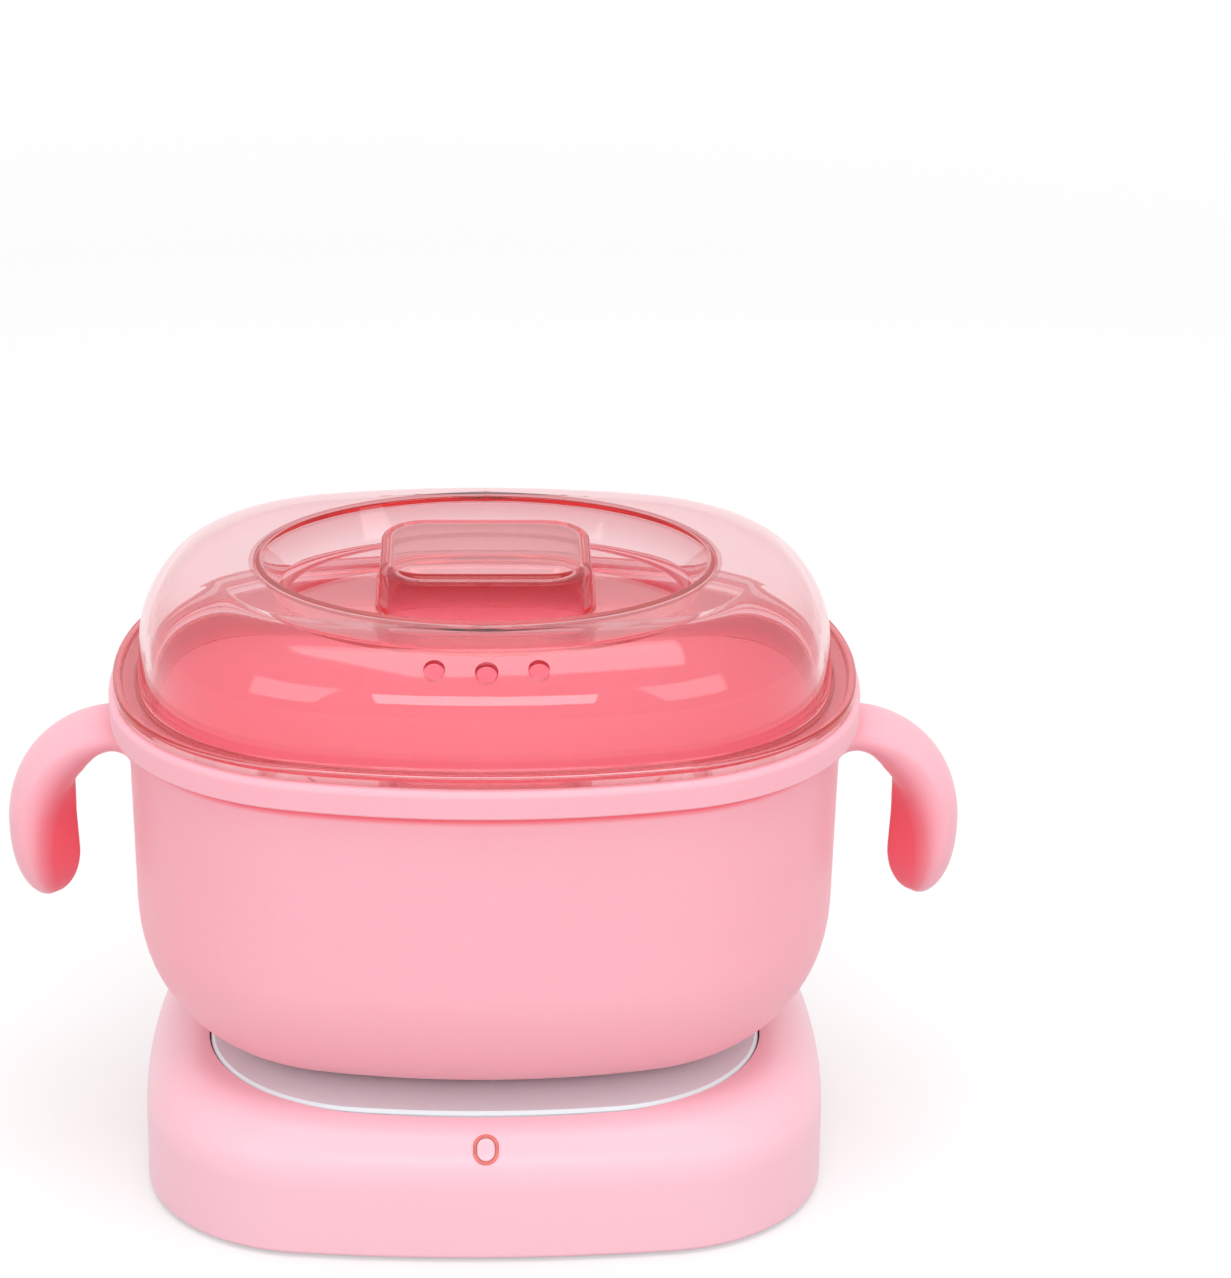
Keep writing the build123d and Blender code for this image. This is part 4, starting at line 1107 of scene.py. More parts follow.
# -------------------- base
@dataclass(frozen=True)
class PanScrew:
    """A pan-head screw with a cross recess, its seat at height 0 and its head below.

    Attributes:
        shank: Radius of the thread.
        head: Radius of the head.
        rise: Height of the head.
        length: Length of the shank.
        pitch: Distance between the thread's grooves.
        groove: Their depth.
        tip: Radius of the shank's end as a share of the thread's.
        crown: Rounding of the head's edge as a share of the rise.
        arm: Half of the width and the reach of the recess's arms, as shares of the head's radius.
        recess: Size of the recess's floor as a share of its mouth.
        recess_floor: Height of that floor as a share of the rise.
    """

    shank: float = 1.5
    head: float = 2.8
    rise: float = 1.9
    length: float = 11.0
    pitch: float = 0.8
    groove: float = 0.22
    tip: float = 0.75
    crown: float = 1 / 3
    arm: tuple[float, float] = (0.14, 0.56)
    recess: float = 0.55
    recess_floor: float = 0.5

    def mesh(self) -> bpy.types.Mesh:
        """Lays the rings from the recess round the head and up the thread.

        Returns:
            The screw's mesh.
        """
        turns = np.linspace(0, 2 * math.pi, 64, endpoint=False)
        from_arm = np.abs((turns + math.pi / 4) % (math.pi / 2) - math.pi / 4)
        blade, arm = self.head * self.arm[0], self.head * self.arm[1]
        cross = np.minimum(arm, blade / np.maximum(np.sin(from_arm), TINY))
        crown = self.rise * self.crown
        shell = Shell(len(turns))
        profile = [(cross * self.recess, -self.rise * self.recess_floor), (cross, -self.rise)]
        profile += [
            (self.head - crown + crown * math.sin(turn), -self.rise + crown - crown * math.cos(turn))
            for turn in np.linspace(0, math.pi / 2, 7)
        ]
        profile += [(self.head, 0.0), (self.shank, 0.0)]
        height = self.pitch
        while height < self.length - self.pitch:
            profile += [(self.shank, height), (self.shank - self.groove, height + self.pitch / 2)]
            height += self.pitch
        profile += [(self.shank, height), (self.shank * self.tip, self.length)]
        rings = [
            shell.ring(np.column_stack([
                radius * np.cos(turns), radius * np.sin(turns), np.full(len(turns), z),
            ]))
            for radius, z in profile
        ]
        shell.bridge(rings)
        shell.pole(rings[0], (0, 0, profile[0][1]), first=True)
        shell.pole(rings[-1], (0, 0, self.length), first=False)
        return shell.mesh("pan_screw")


@dataclass(frozen=True)
class FootPad:
    """A round rubber foot with a pressed ring in its sole.

    Attributes:
        radius: The foot's radius.
        height: Its height.
        bevel: Width of the bevel round its sole.
        sole: Radius and height of each step in the sole, from the middle outwards.
    """

    radius: float = 7.0
    height: float = 2.6
    bevel: float = 0.5
    sole: tuple[tuple[float, float], ...] = (
        (2.6, 0.3), (2.9, 0.0), (4.4, 0.0), (4.65, 0.3), (5.2, 0.3), (5.45, 0.0),
    )

    def mesh(self) -> bpy.types.Mesh:
        """Lays the rings from the middle of the sole to the top.

        Returns:
            The foot's mesh.
        """
        turns = np.linspace(0, 2 * math.pi, 72, endpoint=False)
        shell = Shell(len(turns))
        inner = self.radius - self.bevel
        profile = [*self.sole, (inner, 0.0), (self.radius, self.bevel), (self.radius, self.height)]
        rings = [shell.level(Oval(radius, radius), turns, 0.0, z) for radius, z in profile]
        shell.bridge(rings)
        shell.pole(rings[0], (0, 0, self.sole[0][1]), first=True)
        shell.pole(rings[-1], (0, 0, self.height), first=False)
        return shell.mesh("foot_pad")


@dataclass(frozen=True)
class Slot:
    """A plan outline of two half circles and two straight sides.

    Attributes:
        half_w: Half of the width along X, and the ends' radius.
        half_h: Half of the length along Y.
    """

    half_w: float
    half_h: float

    def outline(self, turns: np.ndarray, inset: float = 0.0) -> np.ndarray:
        """Gives the outline's points at these normal angles, drawn in by an inset.

        Args:
            turns: Normal angles in radians.
            inset: Distance inwards.

        Returns:
            An array of x and y for each angle.
        """
        reach, straight = self.half_w - inset, self.half_h - self.half_w
        cos, sin = np.cos(turns), np.sin(turns)
        return np.column_stack([reach * cos, np.sign(sin) * straight + reach * sin])


@dataclass
class PowerButton:
    """The slot-shaped button in the housing's shoulder, with the ring round it.

    Attributes:
        centre: The middle of the ring on the shoulder.
        lean: How far the button's face leans back from the upright, in degrees from the table.
        shoulder: Radius of the shoulder.
        seat: The outline of the ring's seat.
        rim: Width of the pale rim round the ring.
        ring: Width of the ring.
        proud: How far the ring stands over the shoulder.
        rim_proud: How far the pale rim stands over it.
        ring_depth: How far both reach below the shoulder's face.
        ring_round: Radius of the corners of their section.
        cap: The cap's outline.
        face: Inset and depth of each ring of the cap's face, from its side to its middle.
        flange: How far the cap's hidden flange reaches out.
        flange_front: Depth of the flange's front.
        flange_back: Depth of its back.
        stem: Radius and end of the stem.
        plunger: Radius and end of the plunger.
    """

    centre: Corner = (0.0, -71.07, 31.6)
    lean: float = 50.58
    shoulder: float = 16.4
    seat: Slot = Slot(3.75, 4.45)
    rim: float = 0.4
    ring: float = 0.95
    proud: float = 0.12
    rim_proud: float = 0.072
    ring_depth: float = 0.5
    ring_round: float = 0.16
    cap: Slot = Slot(2.35, 3.05)
    face: tuple[tuple[float, float], ...] = (
        (0.0, 0.5), (0.0, 0.2), (0.06, 0.08), (0.22, 0.01), (0.7, 0.0), (1.4, 0.0),
    )
    flange: float = 1.1
    flange_front: float = 2.55
    flange_back: float = 3.35
    stem: tuple[float, float] = (1.2, 4.55)
    plunger: tuple[float, float] = (0.9, 5.95)

    @property
    def turns(self) -> np.ndarray:
        """Normal angles round a slot, with none on its straight sides.

        Returns:
            The angles in radians.
        """
        off = 0.0001
        half = np.linspace(0, math.pi, 33) * (1 - 2 * off) + off
        return np.concatenate([half, half + math.pi])

    def sag(self, across: np.ndarray) -> np.ndarray:
        """How far the shoulder falls back at a distance above or below the middle."""
        return np.sqrt(self.shoulder**2 - across**2) - self.shoulder

    def ring_mesh(
        self, recipe: BandRecipe, name: str, inset: float, width: float, rise: float, finish: Finish
    ) -> bpy.types.Mesh:
        """Sweeps one ring along the seat's outline.

        Args:
            recipe: The sweeping recipe.
            name: Name of the ring.
            inset: Inset of its middle line from the seat's outline.
            width: Its width.
            rise: How far it stands over the shoulder.
            finish: Its finish.

        Returns:
            The ring's mesh.
        """
        flat = self.seat.outline(self.turns, inset)
        height = rise + self.ring_depth
        path = np.column_stack([flat, self.sag(flat[:, 1]) + rise - height / 2])
        lean = math.radians(self.lean)
        return recipe.sweep(name, path, finish, width, height, self.ring_round, lean, self.centre)

    def cap_mesh(self) -> bpy.types.Mesh:
        """Lofts the cap from the plunger's end to its crowned face.

        Returns:
            The cap's mesh.
        """
        shell = Shell(len(self.turns))
        rings: list[int] = []
        cos, sin = math.cos(math.radians(self.lean)), math.sin(math.radians(self.lean))

        def lay(outline: Slot, inset: float, depth: float, crowned: bool = True) -> None:
            """Adds one ring at a depth behind the shoulder.

            Args:
                outline: The ring's outline.
                inset: Its inset from that.
                depth: Its depth.
                crowned: Whether it follows the shoulder's curve.
            """
            flat = outline.outline(self.turns, inset)
            back = (self.sag(flat[:, 1]) if crowned else 0.0) - depth + np.zeros(len(flat))
            rings.append(shell.ring(np.column_stack([
                self.centre[0] + flat[:, 0],
                self.centre[1] + flat[:, 1] * cos - back * sin,
                self.centre[2] + flat[:, 1] * sin + back * cos,
            ])))

        (stem_r, stem_end), (plunger_r, tip) = self.stem, self.plunger
        front, back = self.flange_front, self.flange_back
        for radius, depth in ((plunger_r, tip), (plunger_r, stem_end), (stem_r, stem_end), (stem_r, back)):
            lay(Slot(radius, radius), 0.0, depth, crowned=False)
        for inset, depth in ((-self.flange, back), (-self.flange, front), (0.0, front)):
            lay(self.cap, inset, depth, crowned=False)
        for inset, depth in self.face:
            lay(self.cap, inset, depth)
        shell.bridge(rings)
        x, y, z = self.centre
        ends = [(x, y + depth * sin, z - depth * cos) for depth in (tip, 0.0)]
        shell.pole(rings[0], ends[0], first=True)
        shell.pole(rings[-1], ends[1], first=False)
        return shell.mesh("power_cap")

    def build(self, recipe: BandRecipe) -> None:
        """Makes the cap and its rings.

        Args:
            recipe: The sweeping recipe.
        """
        place(self.cap_mesh(), CAP, "cap", Body.BUTTON, "power_button")
        copper = self.ring_mesh(recipe, "button_ring", self.rim + self.ring / 2, self.ring, self.proud, BEZEL)
        place(copper, BEZEL, "bezel", Body.BASE, "button_bezel")
        pale = self.ring_mesh(recipe, "button_ring_rim", self.rim / 2, self.rim, self.rim_proud, HOUSING)
        place(pale, HOUSING, "housing", Body.BASE, "button_bezel")


@dataclass
class Base:
    """The feet, screws and gasket of the heating base.

    Attributes:
        foot_spot: Place of a foot in one quarter.
        cover_spot: Place and seat of a cover screw in one quarter.
        wing_spot: Place and seat of a screw at the retainer's ends.
        plate_spot: Place and seat of a screw into the plate.
        board_spot: Half of the board screws' spacing, and their seat.
        board_y: Where the board's middle lies.
        gasket_z: Height of the gasket's middle.
        gasket: Width, height and corner radius of the gasket.
        gasket_out: How far its middle lies outside the plate.
        button: The button's sizes.
    """

    foot_spot: Corner = (54.0, 38.0, 0.0)
    cover_spot: Corner = (66.0, 51.0, 4.2)
    wing_spot: Corner = (80.5, 26.0, 29.9)
    plate_spot: Corner = (48.0, 36.0, 29.9)
    board_spot: Corner = (32.0, 17.0, 13.6)
    board_y: float = 6.0
    gasket_z: float = 32.6
    gasket: tuple[float, float, float] = (1.4, 1.0, 0.3)
    gasket_out: float = 1.2
    button: PowerButton = field(default_factory=PowerButton)

    @staticmethod
    def quarters(spot: Corner, middle_y: float = 0.0) -> list[Corner]:
        """Repeats a spot in all four quarters.

        Args:
            spot: The spot in one quarter.
            middle_y: Where the quarters meet along Y.

        Returns:
            The four spots.
        """
        return [(x * spot[0], middle_y + y * spot[1], spot[2]) for x in (-1, 1) for y in (-1, 1)]

    def build(self) -> None:
        """Makes the repeated pieces and the bands."""
        repeat, band = RepeatRecipe(), BandRecipe()
        spots = self.quarters(self.foot_spot)
        feet = repeat.repeat("rubber_feet", FootPad().mesh(), spots, FOOT_RUBBER)
        place(feet, FOOT_RUBBER, "foot_rubber", Body.BASE, "foot_pads")
        spots = self.quarters(self.cover_spot)
        cover = repeat.repeat("cover_screw_set", PanScrew().mesh(), spots, STEEL, seed=3)
        place(cover, STEEL, "steel", Body.BASE, "cover_screws")
        spots = self.quarters(self.wing_spot) + self.quarters(self.plate_spot)
        retainer = repeat.repeat("retainer_screw_set", PanScrew(length=4.2).mesh(), spots, STEEL, seed=5)
        place(retainer, STEEL, "steel", Body.BASE, "retainer_screws")
        small = PanScrew(shank=1.2, head=2.2, rise=1.4, length=5.5, pitch=0.6, groove=0.18).mesh()
        spots = self.quarters(self.board_spot, self.board_y)
        board = repeat.repeat("board_screw_set", small, spots, STEEL, seed=9, flipped=True)
        place(board, STEEL, "steel", Body.BASE, "board_screws")
        flat = PLATE_PLAN.outline(PLATE_TURNS, -self.gasket_out)
        path = np.column_stack([flat, np.full(len(flat), self.gasket_z)])
        seal = band.sweep("plate_seal", path, GASKET, *self.gasket)
        place(seal, GASKET, "gasket", Body.BASE, "plate_gasket")
        self.button.build(band)


# -------------------- pot
@dataclass
class Handle:
    """A hooked handle: a flat strap out of the wall, over an arch and down into a ridged pad.

    Attributes:
        root_z: Height of the strap's middle line at the wall.
        wall_inset: The pot wall's inset from the rim at that height.
        draft: Lean of the pot's wall in degrees.
        arch_x: Where the arch starts.
        arch_r: Radius of the arch's middle line.
        strap_t: Half of the strap's thickness.
        strap_w: Half of the strap's width.
        root_round: Fillet along the strap where it meets the wall.
        root_drop: The same fillet along the wall.
        pad_w: Half of the pad's width.
        ridge_x: Where the pad's inner ridge runs.
        ridge_r: Rounding of the ridge.
        low_x: Where the pad's lowest point is.
        low_z: Height of the pad's lowest point.
        outer_x: The pad's outer side.
        full_z: Height below which the inner side rounds off.
        belly_turns: Turns along the arch, in degrees from its end.
        belly: The strap's thickness inside the middle line at those turns.
        low_belly: The same thickness low in the pad.
        belly_power: How late that thickness is reached.
        swell: How far the inner side swells past the ridge low in the pad.
        bite: How far the root's edge and its middle reach into the wall.
        strap_full: Fullness of the strap's section, 2 for an ellipse.
        pad_full: Fullness of the pad's section.
        widen_turn: Turn below which the strap widens into the pad, in degrees.
        tip_powers: Exponents of the pad's blunt tip.
        side_power: How late the pad's sides draw in.
        painted_shade_levels: Strength of the painted shade under the strap, inside the pad, low inside it and
            at its tip.
        fade: How fast the painted shade fades towards the section's sides.
        count: Points on each section.
    """

    root_z: float = 121.2
    wall_inset: float = 5.03
    draft: float = 1.2
    arch_x: float = 98.4
    arch_r: float = 24.6
    strap_t: float = 5.0
    strap_w: float = 12.0
    root_round: float = 5.0
    root_drop: float = 3.5
    pad_w: float = 13.7
    ridge_x: float = 110.2
    ridge_r: float = 2.6
    low_x: float = 117.2
    low_z: float = 72.8
    outer_x: float = 128.1
    full_z: float = 87.0
    belly_turns: tuple[float, ...] = (0.0, 15.0, 39.0, 55.0, 66.0, 76.0, 84.0)
    belly: tuple[float, ...] = (8.3, 9.3, 9.2, 8.5, 7.2, 5.7, 5.0)
    low_belly: float = 6.0
    belly_power: float = 0.8
    swell: float = 0.6
    bite: tuple[float, float] = (0.04, 1.0)
    strap_full: float = 2.0
    pad_full: float = 2.25
    widen_turn: float = 70.0
    tip_powers: tuple[float, float] = (2.3, 1.75)
    side_power: float = 1.15
    painted_shade_levels: tuple[float, float, float, float] = (0.4, 0.9, 0.6, 0.3)
    fade: float = 1.4
    count: int = 96

    def section(self, thick: float, belly: float, wide: float, inner: float, full: float) -> np.ndarray:
        """Draws a cross-section: a blunt strap with a ridge on its inner side.

        Args:
            thick: The strap's thickness outside the middle line.
            belly: Its thickness inside the middle line.
            wide: Half of its width.
            inner: Reach of the ridge from the middle line.
            full: The outline's fullness, 2 for an ellipse.

        Returns:
            Evenly spaced points as outward and sideways distances, clockwise.
        """
        turn = np.linspace(0, 2 * math.pi, 720, endpoint=False)
        cos, sin = np.cos(turn), np.sin(turn)
        strap = np.column_stack([
            np.where(cos > 0, thick, belly) * np.sign(cos) * np.abs(cos) ** (2 / full),
            wide * np.sign(sin) * np.abs(sin) ** (2 / full),
        ])
        ridge = self.ridge_r * np.column_stack([cos, sin]) - [max(inner - self.ridge_r, 0.0), 0.0]
        hull = self.hull(np.concatenate([strap, ridge]))
        speck = 1e-3
        start = int(np.argmax(hull[:, 0] - np.abs(hull[:, 1]) * speck))
        hull = np.roll(hull, -start, axis=0)
        off_tip = np.abs(hull[:, 1]) + (thick - hull[:, 0]) > speck
        hull = np.vstack([[thick, 0.0], hull[off_tip], [thick, 0.0]])
        along = np.concatenate([[0], np.cumsum(np.linalg.norm(np.diff(hull, axis=0), axis=1))])
        spots = np.linspace(0, along[-1], self.count, endpoint=False)
        return np.column_stack([np.interp(spots, along, hull[:, 0]), -np.interp(spots, along, hull[:, 1])])

    @staticmethod
    def hull(cloud: np.ndarray) -> np.ndarray:
        """Finds the convex outline round a cloud of points.

        Args:
            cloud: Points as x and y.

        Returns:
            The outline's corners, anticlockwise.
        """
        ordered = sorted({(round(float(x), 6), round(float(y), 6)) for x, y in cloud})

        def chain(points: Sequence[tuple[float, float]]) -> list[tuple[float, float]]:
            """Walks along one side.

            Args:
                points: The points in order.

            Returns:
                The corners on that side, without the last one.
            """
            side: list[tuple[float, float]] = []
            for x, y in points:
                while len(side) > 1:
                    (ax, ay), (bx, by) = side[-2], side[-1]
                    if (bx - ax) * (y - ay) - (by - ay) * (x - ax) > 0:
                        break
                    side.pop()
                side.append((x, y))
            return side[:-1]

        return np.array(chain(ordered) + chain(ordered[::-1]))

    def wall_x(self, y: np.ndarray, z: np.ndarray) -> np.ndarray:
        """Finds the pot wall's x at the short side.

        Args:
            y: Distance from the middle along Y.
            z: Height.

        Returns:
            The x at each of these points.
        """
        inset = self.wall_inset + (self.root_z - z) * math.tan(math.radians(self.draft))
        reach = RIM_PLAN.side_r - inset
        return RIM_PLAN.half_w - RIM_PLAN.side_r + np.sqrt(reach**2 - y**2)

    def build(self, mirrored: bool) -> bpy.types.Mesh:
        """Sweeps the sections along the strap, with painted shade on its underside and on the pad's side
        towards the pot.

        Args:
            mirrored: Whether this is the left handle.

        Returns:
            The handle's mesh.
        """
        shell = Shell(self.count)
        rings = []
        strap_painted_shade, pad_painted_shade, low_painted_shade, tip_painted_shade = self.painted_shade_levels
        for turn in np.radians(np.linspace(90, 0, 10)):
            flare = self.root_drop * (1 - math.cos(turn))
            thick = self.strap_t + flare
            out, side = self.section(thick, thick, self.strap_w + flare, 0.0, self.strap_full).T
            z = self.root_z + out
            x = self.wall_x(side, z) + self.root_round * (1 - math.sin(turn)) - self.bite[0]
            # Painted shade on the strap's underside.
            under = np.clip(-out / self.strap_t, 0, 1)
            rings.append(shell.ring(np.column_stack([x, side, z]), strap_painted_shade * under))
        wall = float(self.wall_x(np.zeros(1), np.full(1, self.root_z))[0])
        shell.pole(rings[0], (wall - self.bite[1], 0.0, self.root_z), first=True)
        centre_z = self.root_z - self.arch_r
        middle_x = self.arch_x + self.arch_r
        outer_t = self.outer_x - middle_x
        upper, lower = np.linspace(self.belly_turns[-1], 50, 20), np.linspace(49, 0, 50)
        for angle in np.concatenate([upper, lower]):
            turn = math.radians(angle)
            share = float(np.clip((self.widen_turn - angle) / self.widen_turn, 0, 1))
            share = share * share * (3 - 2 * share)
            reach = self.arch_r - (self.ridge_x - self.arch_x) / math.cos(turn)
            belly = float(np.interp(angle, self.belly_turns, self.belly))
            out, side = self.section(
                self.strap_t + (outer_t - self.strap_t) * share, belly,
                self.strap_w + (self.pad_w - self.strap_w) * share, max(reach, belly),
                self.strap_full + (self.pad_full - self.strap_full) * share,
            ).T
            x = self.arch_x + (self.arch_r + out) * math.cos(turn)
            z = centre_z + (self.arch_r + out) * math.sin(turn)
            # Painted shade on the side that faces the pot, stronger as the strap turns into the pad.
            shade_paint = strap_painted_shade + (pad_painted_shade - strap_painted_shade) * share
            facing = np.clip(-out / belly, 0, 1) ** self.fade
            rings.append(shell.ring(np.column_stack([x, side, z]), facing * shade_paint))
        drop = centre_z - self.low_z
        full_reach = middle_x - self.ridge_x
        for lean in np.radians(np.linspace(0, 90, 40))[1:-1]:
            sunk = math.sin(lean)
            z = centre_z - drop * sunk
            halfway = min(1.0, sunk * 2)
            belly = self.belly[0] + (self.low_belly - self.belly[0]) * halfway**self.belly_power
            base = self.section(outer_t, belly, self.pad_w, full_reach, self.pad_full)
            inner_share = self.rounding(max(0.0, (self.full_z - z) / (self.full_z - self.low_z)))
            far = self.low_x + (self.outer_x - self.low_x) * self.rounding(sunk)
            near = self.low_x - (self.low_x - self.ridge_x + self.swell * halfway) * inner_share
            low, high = base[:, 0].min(), base[:, 0].max()
            x = near + (base[:, 0] - low) / (high - low) * (far - near)
            side = base[:, 1] * self.rounding(sunk**self.side_power)
            # Painted shade on the pad's side towards the pot, easing off towards its tip.
            shade_paint = pad_painted_shade - (pad_painted_shade - low_painted_shade) * sunk**3
            facing = np.clip(-base[:, 0] / belly, 0, 1) ** self.fade
            rings.append(shell.ring(np.column_stack([x, side, np.full(self.count, z)]), facing * shade_paint))
        shell.bridge(rings)
        shell.pole(rings[-1], (self.low_x, 0.0, self.low_z), first=False, depth=tip_painted_shade)
        return shell.mesh("handle_left" if mirrored else "handle_right", mirrored)

    def rounding(self, share: float) -> float:
        """Gives the width left of a blunt tip, from 1 at its start to 0 at its end."""
        return (1 - share ** self.tip_powers[0]) ** (1 / self.tip_powers[1])


@dataclass
class Pot:
    """The silicone bowl with its rim band and two handles.

    Attributes:
        base_z: Height of the underside.
        top_z: Height of the rim.
        overhang: How far the rim stands out over the wall.
        band: Height of the rim band.
        mouth: Inset of the mouth.
        wall_draft: Lean of the walls in degrees.
        outer_round: Fillet round the underside.
        inner_round: Fillet round the floor.
        floor: Thickness of the floor.
        rim_rounds: Fillets under the band, at its lower and its upper edge, and at the mouth.
        flats: How far in from the wall the last ring of the underside and of the floor lies.
        wall_step: Distance of the next ring down the wall from the band and from the mouth.
        crease: Distances of the two rings under the band between which its shade fades.
        crease_from: Inset from which the band's own underside has that shade.
        crease_painted_shadow: Strength of the painted shadow in that crease.
        flank_painted_shade: Strength of the painted shade at the short sides and the underside.
        bowl_painted_shade: Strength of the painted shade high in the bowl, and how much it gains further
            down.
        bowl_full: Share of the bowl's depth at which it has gained all of that.
        long_share: How much of that painted shade the bowl has along its long sides.
        floor_painted_shade: Strength of the painted shade on the floor.
        floor_fade: How fast the walls' painted shade comes in over the floor's fillet.
        handle: The handles' sizes.
    """

    base_z: float = 38.3
    top_z: float = 136.8
    overhang: float = 4.7
    band: float = 7.5
    mouth: float = 7.7
    wall_draft: float = 1.2
    outer_round: float = 39.0
    inner_round: float = 36.0
    floor: float = 3.5
    rim_rounds: tuple[float, float, float, float] = (0.5, 0.7, 1.9, 1.3)
    flats: tuple[float, float] = (46.0, 44.0)
    wall_step: float = 14.0
    crease: tuple[float, float] = (4.0, 2.5)
    crease_from: float = 3.0
    crease_painted_shadow: float = 0.8
    flank_painted_shade: float = 0.17
    bowl_painted_shade: tuple[float, float] = (0.09, 0.33)
    bowl_full: float = 0.8
    long_share: float = 0.3
    floor_painted_shade: float = 0.07
    floor_fade: float = 0.7
    handle: Handle = field(default_factory=Handle)

    def lean(self, height: float) -> float:
        """How far the wall has leant in over a height."""
        return height * math.tan(math.radians(self.wall_draft))

    def bowl(self) -> bpy.types.Mesh:
        """Lofts the bowl's outside, rim and inside, with its painted shade.

        Returns:
            The bowl's mesh.
        """
        height = self.top_z - self.base_z
        inner_height = height - self.floor
        outer_foot = self.overhang + self.lean(height)
        inner_foot = self.mouth + self.lean(inner_height)
        band_z, floor_z = self.top_z - self.band, self.base_z + self.floor
        nook, lower, upper, lip = self.rim_rounds
        under_band = [
            (self.overhang + self.lean(self.band + down), band_z - down, 0)
            for down in (self.wall_step, *self.crease)
        ]
        in_mouth = (self.mouth + self.lean(self.wall_step), self.top_z - self.wall_step, 0)
        outside = rounded([
            (outer_foot + self.flats[0], self.base_z, 0), (outer_foot, self.base_z, self.outer_round),
            *under_band, (self.overhang + self.lean(self.band), band_z, nook),
            (0, band_z, lower), (0, self.top_z, upper), (self.mouth, self.top_z, lip), in_mouth,
        ], 5.0)
        inside = rounded([
            in_mouth, (inner_foot, floor_z, self.inner_round), (inner_foot + self.flats[1], floor_z, 0),
        ], 5.0)
        shell = Shell(len(RIM_TURNS))
        rings = []
        # Painted shade on the outside: stronger towards the short sides and round the underside.
        short = np.abs(np.cos(RIM_TURNS))
        sides = self.long_share + (1 - self.long_share) * short
        for inset, z in outside + inside[1:]:
            under = max(0.0, 1 - (z - self.base_z) / self.outer_round)
            painted_shade = self.flank_painted_shade * np.maximum(short**2, under) * (z < band_z)
            # Painted shade in the bowl: stronger further down, weaker along the long sides, easing off over
            # the floor's fillet.
            if inset > self.mouth + 2 * SLACK and len(rings) > len(outside) - 4:
                sunk = min(1.0, (self.top_z - z) / inner_height / self.bowl_full)
                over_floor = min(1.0, max(0.0, (z - floor_z) / self.inner_round))
                painted_shade = (self.bowl_painted_shade[0] + self.bowl_painted_shade[1] * sunk) * sides
                painted_shade = self.floor_painted_shade + (painted_shade - self.floor_painted_shade) * over_floor**self.floor_fade
            # Painted shadow in the crease under the rim band.
            elif band_z - self.crease[1] - SLACK < z < band_z + SLACK and inset > self.crease_from:
                painted_shade = self.crease_painted_shadow
            rings.append(shell.level(RIM_PLAN, RIM_TURNS, inset, z, painted_shade))
        shell.bridge(rings)
        shell.pole(rings[0], (0, 0, self.base_z), first=True, depth=self.flank_painted_shade)
        shell.pole(rings[-1], (0, 0, floor_z), first=False, depth=self.floor_painted_shade)
        return shell.mesh("pot_bowl")

    def build(self) -> None:
        """Makes the bowl and the handles."""
        place(self.bowl(), SILICONE, "silicone", Body.POT, "silicone_pot")
        for mirrored in (False, True):
            place(self.handle.build(mirrored), SILICONE, "silicone", Body.POT, "silicone_pot")


